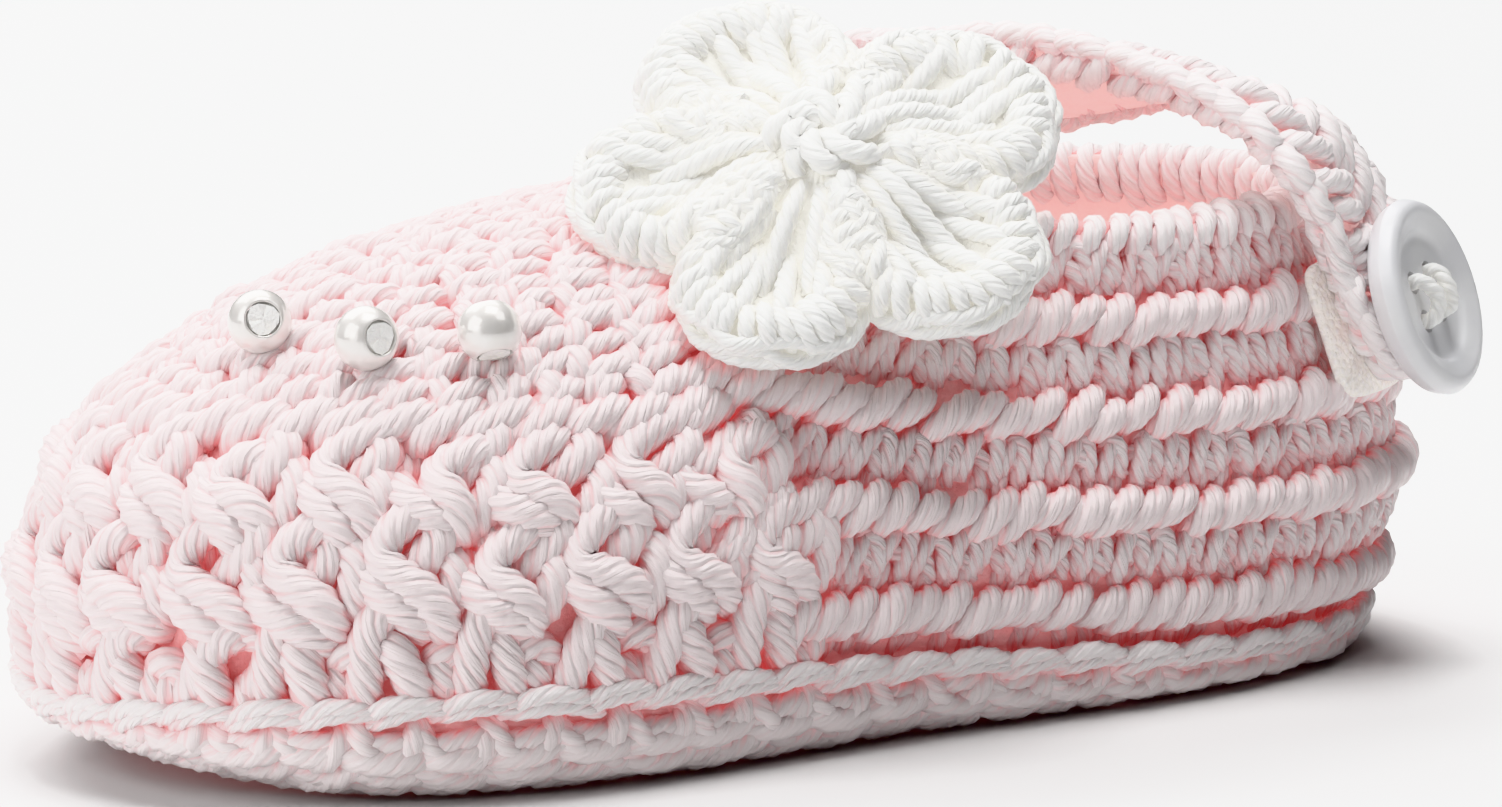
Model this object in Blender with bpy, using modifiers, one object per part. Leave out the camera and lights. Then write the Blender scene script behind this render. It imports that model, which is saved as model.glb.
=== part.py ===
"""Crochet baby bootie, left foot: crochet sole, hollow ribbed upper, strap with a button, flower and beads.

The toe points along -X, the outer side of the foot is -Y, and the floor is Z = 0.
"""

import math

import bmesh
import bpy
import numpy as np
from mathutils import Matrix, Vector

MM = 0.001  # sizes and tables are in millimetres, meshes in metres

# Driving dimensions of the last
LENGTH = 101.0  # sole outline, toe to heel
BALL_WIDTH = 51.0  # sole outline at the ball of the foot
INSTEP_HEIGHT = 36.5  # throat of the upper above the floor
INNER_RISE = 1.6  # how much higher the collar stands at the inner side
MIDDLE_X = 2.3  # the outline's middle with its button, which goes over the origin
GAP = 0.3  # clearance between neighbouring pieces

# Upper
WALL = 2.6  # thickness of the crochet fabric
RIM_CROWN = 0.5  # how far the collar's edge is rounded up
SIDE_ROWS = 9  # crochet rows between the sole and the collar
ROW_RELIEF = 0.55  # height of a row above the grooves beside it
TOE_COLUMNS = 20  # stacked stitches round the toe cap
COLUMN_RELIEF = 0.8
COLUMN_FADE = (0.5, 0.8)  # shares of the height over which the columns fade out
TOE_ROWS = 7  # rows of stitches over the toe cap
CAP_START = 3.3  # where the toe cap begins at the sole, in stations
CAP_LEAN = 2.0  # how far its edge leans towards the toe on the way up
CAP_SWEEP = 1.6  # how late on the way up it leans
CAP_BLEND = 0.25  # width of the change from side rows to toe columns
LINING_HEIGHTS = (1.0, 0.93, 0.8, 0.64, 0.48, 0.32, 0.16, 0.0)  # rings down the inside

# Sole
SOLE_PAD = 4.0  # thickness of the pad under the foot
RIDGE_PROUD = 1.6  # how far the chain ridge stands out round the edge
TOE_SPRING = 4.0  # how far the tip of the tread is lifted
HEEL_SPRING = 1.4
ARCH_RISE = 0.4
FOREFOOT_FLAT = (-24.0, -2.0)  # ends of the tread's flat parts along the foot
HEEL_FLAT = (20.0, 42.0)

# Strap, fastener and button
STRAP_THICKNESS = 2.6
PATCH_THICKNESS = 0.9
BUTTON_DIAMETER = 14.6
BUTTON_THICKNESS = 2.8
BUTTON_RIM = 2.2  # width of the raised rim
BUTTON_DISH = 1.1  # depth of the face inside the rim
BUTTON_HOLE = 1.7  # diameter of each thread hole
BUTTON_HOLE_SPACING = 3.0
THREAD_DIAMETER = 1.2
THREAD_BEND = 0.5  # corner of a bar where it goes into its hole

# Flower and beads
FLOWER_DIAMETER = 35.5
FLOWER_THICKNESS = 3.4
FLOWER_BOSS = 1.4  # height of the raised middle
PETAL_DISH = 1.4  # depth of the hollow in a petal
PETAL_CURL = 1.6  # how far a petal's rim turns up
PETAL_DROOP = 3.4  # how far a petal bends down before that
NOTCH_SHARE = 0.58  # radius in the notch between two petals, as a share of a petal's
PETAL_ROUNDNESS = 0.55
FLOWER_UNDER = (0.08, 0.35, 0.65, 0.9)  # rings of its underside and its top, as shares of the radius
FLOWER_OVER = (1.0, 0.93, 0.8, 0.65, 0.5, 0.35, 0.2, 0.06)
BEAD_DIAMETER = 4.5
BEAD_HOLE = 2.4

# Points along and round each shape
HEEL_STEPS = 28
SOLE_STEPS = 72
STRAP_STEPS = 30
STRAP_SIDES = 12
PATCH_STEPS = (9, 7)
BUTTON_STEPS = 36
HOLE_STEPS = 12
FLOWER_STEPS = 50
BEAD_STEPS = 14
BEAD_ROWS = 9
AXIS_MERGE = 0.00001  # metres

# One row for each station of half the last, from the heel round the outer side to the toe.
# sole_x, collar_x are shares of LENGTH, sole_y, collar_y of half of BALL_WIDTH, collar_z of INSTEP_HEIGHT.
# edge_z is the height of the sole's edge. rise and lean shape the wall as it leaves the sole,
# reach and drop as it arrives at the collar.
STATION_COLUMNS = (
    "sole_x", "sole_y", "edge_z", "rise", "lean", "collar_x", "collar_y", "collar_z", "reach", "drop",
)
STATIONS = {
    "heel back": (0.500, 0.00, 2.8, 11.0, 8.8, 0.490, 0.00, 0.952, 4.0, 10.0),
    "heel corner": (0.450, 0.50, 2.8, 11.0, 6.8, 0.420, 0.48, 0.941, 3.0, 10.0),
    "heel side": (0.270, 0.79, 3.8, 11.0, 3.4, 0.262, 0.66, 0.945, 2.2, 10.0),
    "waist": (0.040, 0.88, 5.8, 12.0, 2.8, 0.135, 0.58, 0.990, 5.0, 10.0),
    "ball": (-0.200, 1.00, 7.0, 14.0, 2.0, 0.085, 0.36, 0.990, 13.0, 4.0),
    "toe corner": (-0.412, 0.70, 6.8, 19.5, 2.4, 0.066, 0.16, 0.995, 27.0, 0.6),
    "toe": (-0.497, 0.00, 5.6, 22.5, 2.8, 0.060, 0.00, 1.000, 31.0, -1.2),
}
TOE = len(STATIONS) - 1.0  # the toe's station; the inner side's stations run on from it
ROUND = 2 * (len(STATIONS) - 1)  # stations in a full turn

# Rings of the sole, from the middle of its top over the chain ridge to the middle of its tread.
# inset is measured in from the outline, level is 1 at the outline's edge and 0 at the tread, or None for
# a height above the tread, and lift is added to it.
SOLE_RINGS = {
    "pad middle": (19.0, None, SOLE_PAD),
    "pad side": (9.0, None, SOLE_PAD),
    "seat inside": (3.2, 1.0, -0.4),
    "seat": (0.4, 1.0, -0.1),
    "ridge foot": (-0.4, 1.0, 0.0),
    "ridge top": (-1.0, 1.0, 0.8),
    "ridge side": (-RIDGE_PROUD, 1.0, 0.0),
    "ridge under": (-0.7, 0.82, 0.0),
    "side groove": (0.4, 0.7, 0.0),
    "side row": (0.0, 0.42, 0.0),
    "tread edge": (2.6, 0.14, 0.0),
    "tread rim": (5.2, 0.0, 0.0),
    "tread inside": (10.0, 0.0, 0.0),
    "tread middle": (19.0, 0.0, 0.0),
}

# The strap's middle line over the ankle, between its root on the inner collar and its tab on the outer heel.
# x, y, z, then the way that its outer face looks, then half its width.
STRAP_ROUTE = {
    "inner side": (21.0, 9.5, 42.2, 0.0, 0.90, 0.4, 3.8),
    "over the ankle": (30.0, 1.5, 42.6, 0.05, 0.85, 0.5, 4.4),
    "outer fall": (37.0, -8.0, 42.4, 0.25, 0.1, 0.95, 4.8),
    "outer shoulder": (41.8, -14.6, 38.8, 0.5, -0.55, 0.65, 5.2),
}
ROOT_STATION = 8.8  # where the strap stands on the collar
ROOT_HALF_WIDTH = 3.0
TAB_STATION = 0.92  # where the strap lies on the heel
TAB_HEIGHTS = (0.87, 0.70)  # shares of the wall's height
TAB_HALF_WIDTH = 5.4
TAB_END = 0.8  # length of the tab's round end, as a share of its half width
STRAP_SQUARENESS = 0.6  # 1 is an oval section, 0 a square one
PATCH_STATIONS = (0.72, 1.24)
PATCH_HEIGHTS = (0.52, 0.84)

FLOWER_CENTRE = (4.3, -13.3, 39.7)
FLOWER_FACE = (-0.24, -0.57, 0.79)  # the way that the flower looks
PETAL_TURNS = (28.0, 122.0, 186.0, 248.0, 315.0)  # middle of each petal, in degrees
# station round the last, share of the way from sole to throat, then the way that the bead's hole runs
BEAD_PLACES = {
    "pearl_toe": (5.63, 0.485, -0.20, -0.97, 0.27),
    "pearl_middle": (5.15, 0.495, 0.22, -0.95, 0.14),
    "pearl_side": (4.80, 0.54, 0.00, -0.45, -0.89),
}

PINK = (0.86, 0.62, 0.63)
WHITE = (0.86, 0.86, 0.84)
CREAM = (0.80, 0.72, 0.62)
PEARL = (0.84, 0.81, 0.77)


def closed_spline(knots):
    """A smooth closed curve through the rows of knots, one knot for each whole number."""
    count = len(knots)
    ring = np.eye(count)
    system = 4 * ring + np.roll(ring, 1, axis=0) + np.roll(ring, -1, axis=0)
    slopes = np.linalg.solve(system, 3 * (np.roll(knots, -1, axis=0) - np.roll(knots, 1, axis=0)))

    def at(place):
        place = np.asarray(place, float) % count
        first = np.floor(place).astype(int) % count
        second = (first + 1) % count
        f = (place - np.floor(place))[..., None]
        return (
            (2 * f**3 - 3 * f**2 + 1) * knots[first]
            + (f**3 - 2 * f**2 + f) * slopes[first]
            + (3 * f**2 - 2 * f**3) * knots[second]
            + (f**3 - f**2) * slopes[second]
        )

    return at


def open_spline(knots):
    """A smooth curve through the rows of knots, with one knot for each whole number."""
    ends = np.vstack([2 * knots[0] - knots[1], knots, 2 * knots[-1] - knots[-2]])

    def at(place):
        place = np.clip(np.asarray(place, float), 0, len(knots) - 1)
        first = np.minimum(np.floor(place).astype(int), len(knots) - 2)
        f = (place - first)[..., None]
        a, b, c, d = (ends[first + i] for i in range(4))
        square = (2 * a - 5 * b + 4 * c - d) * f**2
        cube = (3 * b - a - 3 * c + d) * f**3
        return 0.5 * (2 * b + (c - a) * f + square + cube)

    return at


def smooth_step(low, high, value):
    f = np.clip((value - low) / (high - low), 0, 1)
    return f * f * (3 - 2 * f)


def station_knots():
    """The table's rows in millimetres, with the inner side mirrored from the outer one."""
    scale = {
        "sole_x": LENGTH, "sole_y": -BALL_WIDTH / 2, "collar_x": LENGTH, "collar_y": -BALL_WIDTH / 2,
        "collar_z": INSTEP_HEIGHT,
    }
    outer = np.array(list(STATIONS.values())) * [scale.get(name, 1.0) for name in STATION_COLUMNS]
    mirror = np.array([-1.0 if name.endswith("_y") else 1.0 for name in STATION_COLUMNS])
    inner = outer[-2:0:-1] * mirror
    swell = np.sin(np.linspace(0, np.pi, len(inner) + 2))[1:-1]
    inner[:, STATION_COLUMNS.index("collar_z")] += INNER_RISE * swell
    return np.vstack([outer, inner])


station = closed_spline(station_knots())


def column(rows, name):
    i = STATION_COLUMNS.index(name)
    return rows[..., i : i + 1]


def outline(place):
    """Point on the sole's edge and the level direction out of it."""
    step = 0.01
    along = station(place + step)[..., :2] - station(place - step)[..., :2]
    out = np.stack([-along[..., 1], along[..., 0], np.zeros_like(along[..., 0])], axis=-1)
    out /= np.linalg.norm(out, axis=-1, keepdims=True)
    return station(place)[..., :3], out


def wall(place, height):
    """Point on the mean outer face of the upper. place is in stations, height runs from sole to collar."""
    place, height = np.broadcast_arrays(np.asarray(place, float), np.asarray(height, float))
    row = station(place)
    edge, out = outline(place)
    rise, lean, reach, drop = (column(row, name) for name in ("rise", "lean", "reach", "drop"))
    collar = np.concatenate([column(row, "collar_" + axis) for axis in "xyz"], axis=-1)
    up = np.array([0.0, 0.0, 1.0])
    across = (edge - collar) * [1.0, 1.0, 0.0]
    across /= np.linalg.norm(across, axis=-1, keepdims=True)
    f = height[..., None]
    return (
        (1 - f) ** 3 * edge
        + 3 * (1 - f) ** 2 * f * (edge + rise * up + lean * out)
        + 3 * (1 - f) * f**2 * (collar + reach * across - drop * up)
        + f**3 * collar
    )


def wall_normal(place, height):
    step = 0.01
    along = wall(place + step, height) - wall(place - step, height)
    upward = wall(place, np.minimum(height + step, 1.0)) - wall(place, np.maximum(height - step, 0.0))
    normal = np.cross(upward, along)
    return normal / np.linalg.norm(normal, axis=-1, keepdims=True)


def relief(place, height):
    """How far the stitches stand out of the mean face: level rows at the sides, columns round the toe."""
    from_heel = TOE - abs((place % ROUND) - TOE)
    edge = CAP_START + CAP_LEAN * height**CAP_SWEEP
    toe = smooth_step(edge - CAP_BLEND, edge + CAP_BLEND, from_heel)
    rows = ROW_RELIEF * np.cos(2 * np.pi * SIDE_ROWS * height)
    columns = np.cos(2 * np.pi * TOE_COLUMNS * (place - TOE) / (ROUND - 2 * CAP_START))
    fade = 1 - smooth_step(*COLUMN_FADE, height)
    bumps = COLUMN_RELIEF * columns * np.cos(np.pi * TOE_ROWS * height) ** 2 * fade
    return (rows * (1 - toe) + bumps * toe) * np.clip(height * 2 * SIDE_ROWS, 0, 1)


def faced(place, height, offset):
    """Point on the outer face, offset along its normal."""
    return wall(place, height) + wall_normal(place, height) * np.asarray(offset)[..., None]


def new_object(name, mesh_maker, colour, roughness, location=(0, 0, 0)):
    """A named object in the bootie's collection, from a function that fills a bmesh in millimetres."""
    mesh = bpy.data.meshes.new(name)
    shape = bmesh.new()
    mesh_maker(shape)
    bmesh.ops.scale(shape, vec=(MM, MM, MM), verts=shape.verts)
    bmesh.ops.recalc_face_normals(shape, faces=shape.faces)
    shape.to_mesh(mesh)
    shape.free()
    mesh.shade_smooth()
    mesh.set_sharp_from_angle(angle=math.radians(50))
    piece = bpy.data.objects.new(name, mesh)
    piece.location = Vector(location) * MM
    mesh.materials.append(finish(name, colour, roughness))
    collection("crochet_baby_bootie").objects.link(piece)
    return piece


def collection(name):
    found = bpy.data.collections.get(name)
    if found is None:
        found = bpy.data.collections.new(name)
        bpy.context.scene.collection.children.link(found)
    return found


def finish(name, colour, roughness):
    material = bpy.data.materials.new(name)
    material.use_nodes = True
    shader = material.node_tree.nodes["Principled BSDF"]
    shader.inputs["Base Color"].default_value = (*colour, 1.0)
    shader.inputs["Roughness"].default_value = roughness
    shader.inputs["Metallic"].default_value = 0.0
    return material


def loft(shape, rings, close=False, caps=False):
    """Faces between rings of points. close joins the last ring to the first, caps fans over both ends."""
    loops = [[shape.verts.new(point) for point in ring] for ring in rings]
    count = len(loops[0])
    pairs = list(zip(loops, loops[1:] + loops[:1] if close else loops[1:]))
    for lower, upper in pairs:
        for i in range(count):
            j = (i + 1) % count
            shape.faces.new((lower[i], lower[j], upper[j], upper[i]))
    if caps:
        for loop in (loops[0], loops[-1]):
            fill_across(shape, loop)


def fill_across(shape, loop):
    """Closes a ring that is symmetric about its first point with strips between facing points."""
    count = len(loop)
    for i in range(count // 2):
        near, far = [loop[i], loop[i + 1]], [loop[-i - 1], loop[-i]] if i else [loop[-1], loop[0]]
        corners = [near[0], near[1], far[0], far[1]]
        unique = list(dict.fromkeys(corners))
        if len(unique) > 2:
            shape.faces.new(unique)


def toe_and_heel_places(toe_count, heel_count):
    """Stations round the upper, closer together round the toe cap."""
    toe = np.linspace(CAP_START, ROUND - CAP_START, toe_count, endpoint=False)
    heel = np.linspace(-CAP_START, CAP_START, heel_count, endpoint=False)
    return np.concatenate([heel, toe])


def make_upper(shape):
    """One hollow wall: outer face with its relief, rounded collar edge, plain inside, open at both ends."""
    places = toe_and_heel_places(TOE_COLUMNS * 4, HEEL_STEPS)
    rings = []
    for height in np.linspace(0, 1, 2 * SIDE_ROWS + 1):
        rings.append(faced(places, height, relief(places, height)))
    rings.append(faced(places, 1.0, np.full(len(places), -WALL / 2)) + [0, 0, RIM_CROWN])
    for height in LINING_HEIGHTS:
        rings.append(faced(places, height, np.full(len(places), -WALL)))
    for ring in (rings[0], rings[-1]):
        ring[:, 2] = station(places)[:, 2]
    rings = [ring + [0, 0, GAP] for ring in rings]
    loft(shape, rings, close=True)


def tread_height(x):
    """Height of the underside: flat at forefoot and heel, lifted at the toe, the arch and the heel's end."""
    toe = TOE_SPRING * np.clip((FOREFOOT_FLAT[0] - x) / (LENGTH / 2 + FOREFOOT_FLAT[0]), 0, 1) ** 2
    middle = (FOREFOOT_FLAT[1] + HEEL_FLAT[0]) / 2
    arch = ARCH_RISE * smooth_step(FOREFOOT_FLAT[1], middle, x) * (1 - smooth_step(middle, HEEL_FLAT[0], x))
    heel = HEEL_SPRING * np.clip((x - HEEL_FLAT[1]) / (LENGTH / 2 - HEEL_FLAT[1]), 0, 1) ** 2
    return toe + arch + heel


def make_sole(shape):
    """A soft pad with a raised chain ridge round its edge and a tread that curves up to it."""
    places = np.linspace(0, ROUND, SOLE_STEPS, endpoint=False)
    edge, out = outline(places)
    rings = []
    for inset, level, lift in SOLE_RINGS.values():
        shrink = np.array([1 - inset / (LENGTH / 2), 1 - inset / (BALL_WIDTH / 2), 1.0])
        ring = edge * shrink if inset > 2.0 else edge - inset * out
        tread = tread_height(ring[:, 0])
        if level is None:
            ring[:, 2] = tread + lift
        else:
            ring[:, 2] = tread + level * (edge[:, 2] - tread) + lift
        rings.append(ring)
    loft(shape, rings, caps=True)


def strap_frames(steps):
    """Middle line, outward face, sideways direction and half width along the strap."""
    root = wall(ROOT_STATION, 1.0) + [0, 0, 2 * GAP + RIM_CROWN + ROOT_HALF_WIDTH]
    root_face = wall_normal(ROOT_STATION, 0.9) * [1, 1, 0]
    rows = [[*root, *root_face, ROOT_HALF_WIDTH], *STRAP_ROUTE.values()]
    stand = ROW_RELIEF + 2 * GAP + PATCH_THICKNESS + STRAP_THICKNESS / 2
    for height in TAB_HEIGHTS:
        centre = faced(TAB_STATION, height, stand)
        rows.append([*centre, *wall_normal(TAB_STATION, height), TAB_HALF_WIDTH])
    route = open_spline(np.array(rows))
    values = route(np.linspace(0, len(rows) - 1, steps))
    middle, face, half = values[:, :3], values[:, 3:6], values[:, 6]
    along = np.gradient(middle, axis=0)
    along /= np.linalg.norm(along, axis=1, keepdims=True)
    face -= along * np.sum(face * along, axis=1, keepdims=True)
    face /= np.linalg.norm(face, axis=1, keepdims=True)
    return middle, along, face, np.cross(along, face), half


def make_strap(shape):
    """A crochet band, oval in section, that ends in a rounded tab."""
    middle, along, face, side, half = strap_frames(STRAP_STEPS)
    turns = np.linspace(0, 2 * np.pi, STRAP_SIDES, endpoint=False)
    across = np.sign(np.cos(turns)) * np.abs(np.cos(turns)) ** STRAP_SQUARENESS
    deep = np.sign(np.sin(turns)) * np.abs(np.sin(turns)) ** STRAP_SQUARENESS * STRAP_THICKNESS / 2
    end = TAB_HALF_WIDTH * TAB_END
    end_thickness = 0.9  # share of the strap's
    rings = [m + np.outer(across * h, s) + np.outer(deep, f) for m, f, s, h in zip(middle, face, side, half)]
    for share in (0.6, 0.92):
        narrow = math.sqrt(1 - share**2)
        rings.append(
            middle[-1] + along[-1] * end * share
            + np.outer(across * half[-1] * narrow, side[-1])
            + np.outer(deep * end_thickness, face[-1])
        )
    loft(shape, rings, caps=True)


def make_patch(shape):
    """The open middle face of the fastener on the heel; Solidify gives it its thickness."""
    places = np.linspace(*PATCH_STATIONS, PATCH_STEPS[0])
    heights = np.linspace(*PATCH_HEIGHTS, PATCH_STEPS[1])
    offset = np.full(len(places), ROW_RELIEF + GAP + PATCH_THICKNESS / 2)
    rows = [[shape.verts.new(point) for point in faced(places, height, offset)] for height in heights]
    for lower, upper in zip(rows, rows[1:]):
        for i in range(len(places) - 1):
            shape.faces.new((lower[i], lower[i + 1], upper[i + 1], upper[i]))


def add_patch():
    patch = new_object("fastener_patch", make_patch, CREAM, 0.9)
    solid = patch.modifiers.new("thickness", "SOLIDIFY")
    solid.thickness = PATCH_THICKNESS * MM
    solid.offset = 0.0
    return patch


def add_turned(name, profile, steps, colour, roughness, closed=False):
    """A solid turned about Z from rows of radius and height that run down its outer side."""

    def make_profile(shape):
        points = [shape.verts.new((radius, 0, height)) for radius, height in profile]
        ends = points[1:] + points[:1] if closed else points[1:]
        for first, second in zip(points, ends):
            shape.edges.new((first, second))

    piece = new_object(name, make_profile, colour, roughness)
    turn = piece.modifiers.new("turn", "SCREW")
    turn.steps = steps
    turn.render_steps = steps
    turn.use_merge_vertices = True
    turn.merge_threshold = AXIS_MERGE
    return piece


def button_profile():
    """Section of the button: shallow dish, rounded rim, side, and a back that is round at its edge."""
    radius = BUTTON_DIAMETER / 2
    inner = radius - BUTTON_RIM
    top = BUTTON_THICKNESS
    face = top - BUTTON_DISH
    return [
        (0, face), (inner * 0.5, face), (inner - 0.7, face + 0.1), (inner, face + 0.6),
        (inner + 0.6, top - 0.2), (radius - 0.95, top), (radius - 0.35, top - 0.25), (radius, top - 0.9),
        (radius, 1.5), (radius * 0.93, 0.5), (radius * 0.72, 0), (0, 0),
    ]


def make_hole(shape):
    radius = BUTTON_HOLE / 2
    through = 3 * BUTTON_THICKNESS
    bmesh.ops.create_cone(
        shape, cap_ends=True, segments=HOLE_STEPS, radius1=radius, radius2=radius, depth=through
    )


def button_placement():
    """World matrix of the button: its back lies on the strap's tab, and it looks out of the heel."""
    middle, along, face, side, _ = strap_frames(STRAP_STEPS)
    centre = middle[-1] + face[-1] * (STRAP_THICKNESS / 2 + GAP)
    axes = Matrix((side[-1], along[-1], face[-1])).transposed().to_4x4()
    return Matrix.Translation(Vector(centre) * MM) @ axes


def button_holes():
    half = BUTTON_HOLE_SPACING / 2
    return [(x, y) for x in (-half, half) for y in (-half, half)]


def add_button():
    button = add_turned("button", button_profile(), BUTTON_STEPS, WHITE, 0.3)
    button.matrix_world = button_placement()
    for number, (x, y) in enumerate(button_holes()):
        cutter = new_object(f"hole_cutter_{number}", make_hole, WHITE, 0.5)
        cutter.matrix_world = button_placement() @ Matrix.Translation(Vector((x, y, 0)) * MM)
        collection("crochet_baby_bootie").objects.unlink(cutter)
        collection("cutters").objects.link(cutter)
        cutter.hide_render = True
        cutter.display_type = "WIRE"
        cut = button.modifiers.new(f"hole_{number}", "BOOLEAN")
        cut.operation = "DIFFERENCE"
        cut.solver = "EXACT"
        cut.object = cutter
    return button


def add_button_threads():
    """Two sewn bars of yarn, each down one hole and up the next."""
    half = BUTTON_HOLE_SPACING / 2
    face = BUTTON_THICKNESS - BUTTON_DISH
    top = face + GAP + THREAD_DIAMETER / 2
    foot = GAP + 0.1
    for number, x in enumerate((-half, half)):
        curve = bpy.data.curves.new(f"button_thread_{number + 1}", "CURVE")
        curve.dimensions = "3D"
        curve.bevel_depth = THREAD_DIAMETER / 2 * MM
        curve.bevel_resolution = 2
        curve.use_fill_caps = True
        spline = curve.splines.new("POLY")
        bend = THREAD_BEND
        route = [
            (x, -half, foot), (x, -half, top - bend), (x, -half + bend, top), (x, half - bend, top),
            (x, half, top - bend), (x, half, foot),
        ]
        spline.points.add(len(route) - 1)
        for point, place in zip(spline.points, route):
            point.co = (*(Vector(place) * MM), 1.0)
        thread = bpy.data.objects.new(f"button_thread_{number + 1}", curve)
        thread.matrix_world = button_placement()
        curve.materials.append(finish(thread.name, WHITE, 0.8))
        collection("crochet_baby_bootie").objects.link(thread)


def petal_share(turn):
    """1 on the middle of a petal, 0 in the notch between two."""
    middles = np.radians([*PETAL_TURNS, PETAL_TURNS[0] + 360])
    turn = (turn - middles[0]) % (2 * np.pi) + middles[0]
    return np.abs(np.cos(np.pi * np.interp(turn, middles, range(len(middles)))))


def flower_point(turn, share, top):
    """Point of the flower in its own frame. share runs from the middle to the rim."""
    petal = petal_share(turn)
    rim = FLOWER_DIAMETER / 2 * (NOTCH_SHARE + (1 - NOTCH_SHARE) * petal**PETAL_ROUNDNESS)
    radius = rim * share
    sag = -PETAL_DROOP * (radius / rim.max()) ** 2 + PETAL_CURL * smooth_step(0.6, 1.0, share) * petal
    if not top:
        return np.stack([radius * np.cos(turn), radius * np.sin(turn), sag], axis=-1)
    dish = -PETAL_DISH * np.exp(-(((share - 0.6) / 0.2) ** 2)) * petal
    boss = FLOWER_BOSS * np.exp(-((share / 0.2) ** 2))
    thick = FLOWER_THICKNESS * np.sqrt(np.maximum(1 - share**6, 0.0))
    return np.stack([radius * np.cos(turn), radius * np.sin(turn), sag + thick + dish + boss], axis=-1)


def make_flower(shape):
    """Five cupped petals round a raised middle, worked in one piece."""
    turns = np.linspace(0, 2 * np.pi, FLOWER_STEPS, endpoint=False)
    under = [flower_point(turns, share, False) for share in FLOWER_UNDER]
    over = [flower_point(turns, share, True) for share in FLOWER_OVER]
    loft(shape, under + over, caps=True)


def add_flower():
    flower = new_object("flower", make_flower, WHITE, 0.85)
    face = Vector(FLOWER_FACE).normalized()
    turn = face.to_track_quat("Z", "Y").to_matrix().to_4x4()
    flower.matrix_world = Matrix.Translation(Vector(FLOWER_CENTRE) * MM) @ turn


def bead_profile():
    """Section of a drilled bead, from one mouth of its hole to the other; it closes along the hole."""
    ball = BEAD_DIAMETER / 2
    mouth = math.asin(BEAD_HOLE / BEAD_DIAMETER)
    angles = np.linspace(mouth, math.pi - mouth, BEAD_ROWS)
    return [(ball * math.sin(angle), ball * math.cos(angle)) for angle in angles]


def add_beads():
    for name, (place, height, *hole) in BEAD_PLACES.items():
        bead = add_turned(name, bead_profile(), BEAD_STEPS, PEARL, 0.15, closed=True)
        sunk = COLUMN_RELIEF * 2 / 3  # between the columns
        stand = COLUMN_RELIEF - sunk + GAP + BEAD_DIAMETER / 2
        bead.location = Vector(faced(place, height, stand)) * MM
        bead.rotation_euler = Vector(hole).to_track_quat("Z", "Y").to_euler()


def build():
    for old in list(bpy.data.objects):
        bpy.data.objects.remove(old)
    new_object("sole", make_sole, PINK, 0.9)
    new_object("upper", make_upper, PINK, 0.9)
    new_object("strap", make_strap, PINK, 0.9)
    add_patch()
    add_button()
    add_button_threads()
    add_flower()
    add_beads()
    for placed in bpy.data.objects:
        placed.location.x -= MIDDLE_X * MM


build()
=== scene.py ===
import math

import bmesh
import bpy
import numpy as np
from mathutils import Matrix, Quaternion, Vector


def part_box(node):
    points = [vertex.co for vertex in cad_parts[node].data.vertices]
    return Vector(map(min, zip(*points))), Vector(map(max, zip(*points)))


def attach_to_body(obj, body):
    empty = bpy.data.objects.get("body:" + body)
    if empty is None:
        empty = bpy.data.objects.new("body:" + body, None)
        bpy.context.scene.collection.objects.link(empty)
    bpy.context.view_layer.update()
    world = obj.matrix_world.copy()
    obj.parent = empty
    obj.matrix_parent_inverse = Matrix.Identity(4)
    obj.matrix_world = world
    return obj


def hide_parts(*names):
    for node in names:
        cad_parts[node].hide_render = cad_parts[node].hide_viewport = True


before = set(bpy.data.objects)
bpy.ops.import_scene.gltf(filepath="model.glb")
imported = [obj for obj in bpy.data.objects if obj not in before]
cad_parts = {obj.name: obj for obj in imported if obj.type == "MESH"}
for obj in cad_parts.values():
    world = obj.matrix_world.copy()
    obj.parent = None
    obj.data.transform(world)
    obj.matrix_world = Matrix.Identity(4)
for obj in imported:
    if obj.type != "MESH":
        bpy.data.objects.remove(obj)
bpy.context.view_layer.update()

mm = 0.001  # sizes below are in millimetres, meshes in metres
fullTurn = 2 * math.pi
scene = bpy.context.scene
scene.view_settings.view_transform = "Khronos PBR Neutral"

last = {
    "length": 101.0,
    "ballWidth": 51.0,
    "instepHeight": 36.5,
    "innerRise": 1.6,
    "middleX": 2.3,  # the whole bootie stands this much further towards the toe than the last
    "gap": 0.3,
    "rimCrown": 0.5,
    "toe": 6.0,  # station of the toe, with the heel at 0
    "round": 12.0,  # stations in a full turn
    "capStart": 3.3,
    "capLean": 2.0,
    "capSweep": 1.6,
    "toeSpring": 4.0,
    "heelSpring": 1.4,
    "archRise": 0.4,
    "forefootFlat": (-24.0, -2.0),
    "heelFlat": (20.0, 42.0),
}

# from the heel round the outer side to the toe: sole x, sole y, edge height, rise, lean, collar x, collar y,
# collar height, reach, drop; x is a share of the length, y of half the ball's width,
# and the collar height of the instep's
stations = {
    "heel back": (0.500, 0.00, 2.8, 11.0, 8.8, 0.490, 0.00, 0.952, 4.0, 10.0),
    "heel corner": (0.450, 0.50, 2.8, 11.0, 6.8, 0.420, 0.48, 0.941, 3.0, 10.0),
    "heel side": (0.270, 0.79, 3.8, 11.0, 3.4, 0.262, 0.66, 0.945, 2.2, 10.0),
    "waist": (0.040, 0.88, 5.8, 12.0, 2.8, 0.135, 0.58, 0.990, 5.0, 10.0),
    "ball": (-0.200, 1.00, 7.0, 14.0, 2.0, 0.085, 0.36, 0.990, 13.0, 4.0),
    "toe corner": (-0.412, 0.70, 6.8, 19.5, 2.4, 0.066, 0.16, 0.995, 27.0, 0.6),
    "toe": (-0.497, 0.00, 5.6, 22.5, 2.8, 0.060, 0.00, 1.000, 31.0, -1.2),
}


def link(name, data):
    thing = bpy.data.objects.new(name, data)
    scene.collection.objects.link(thing)
    return thing


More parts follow.
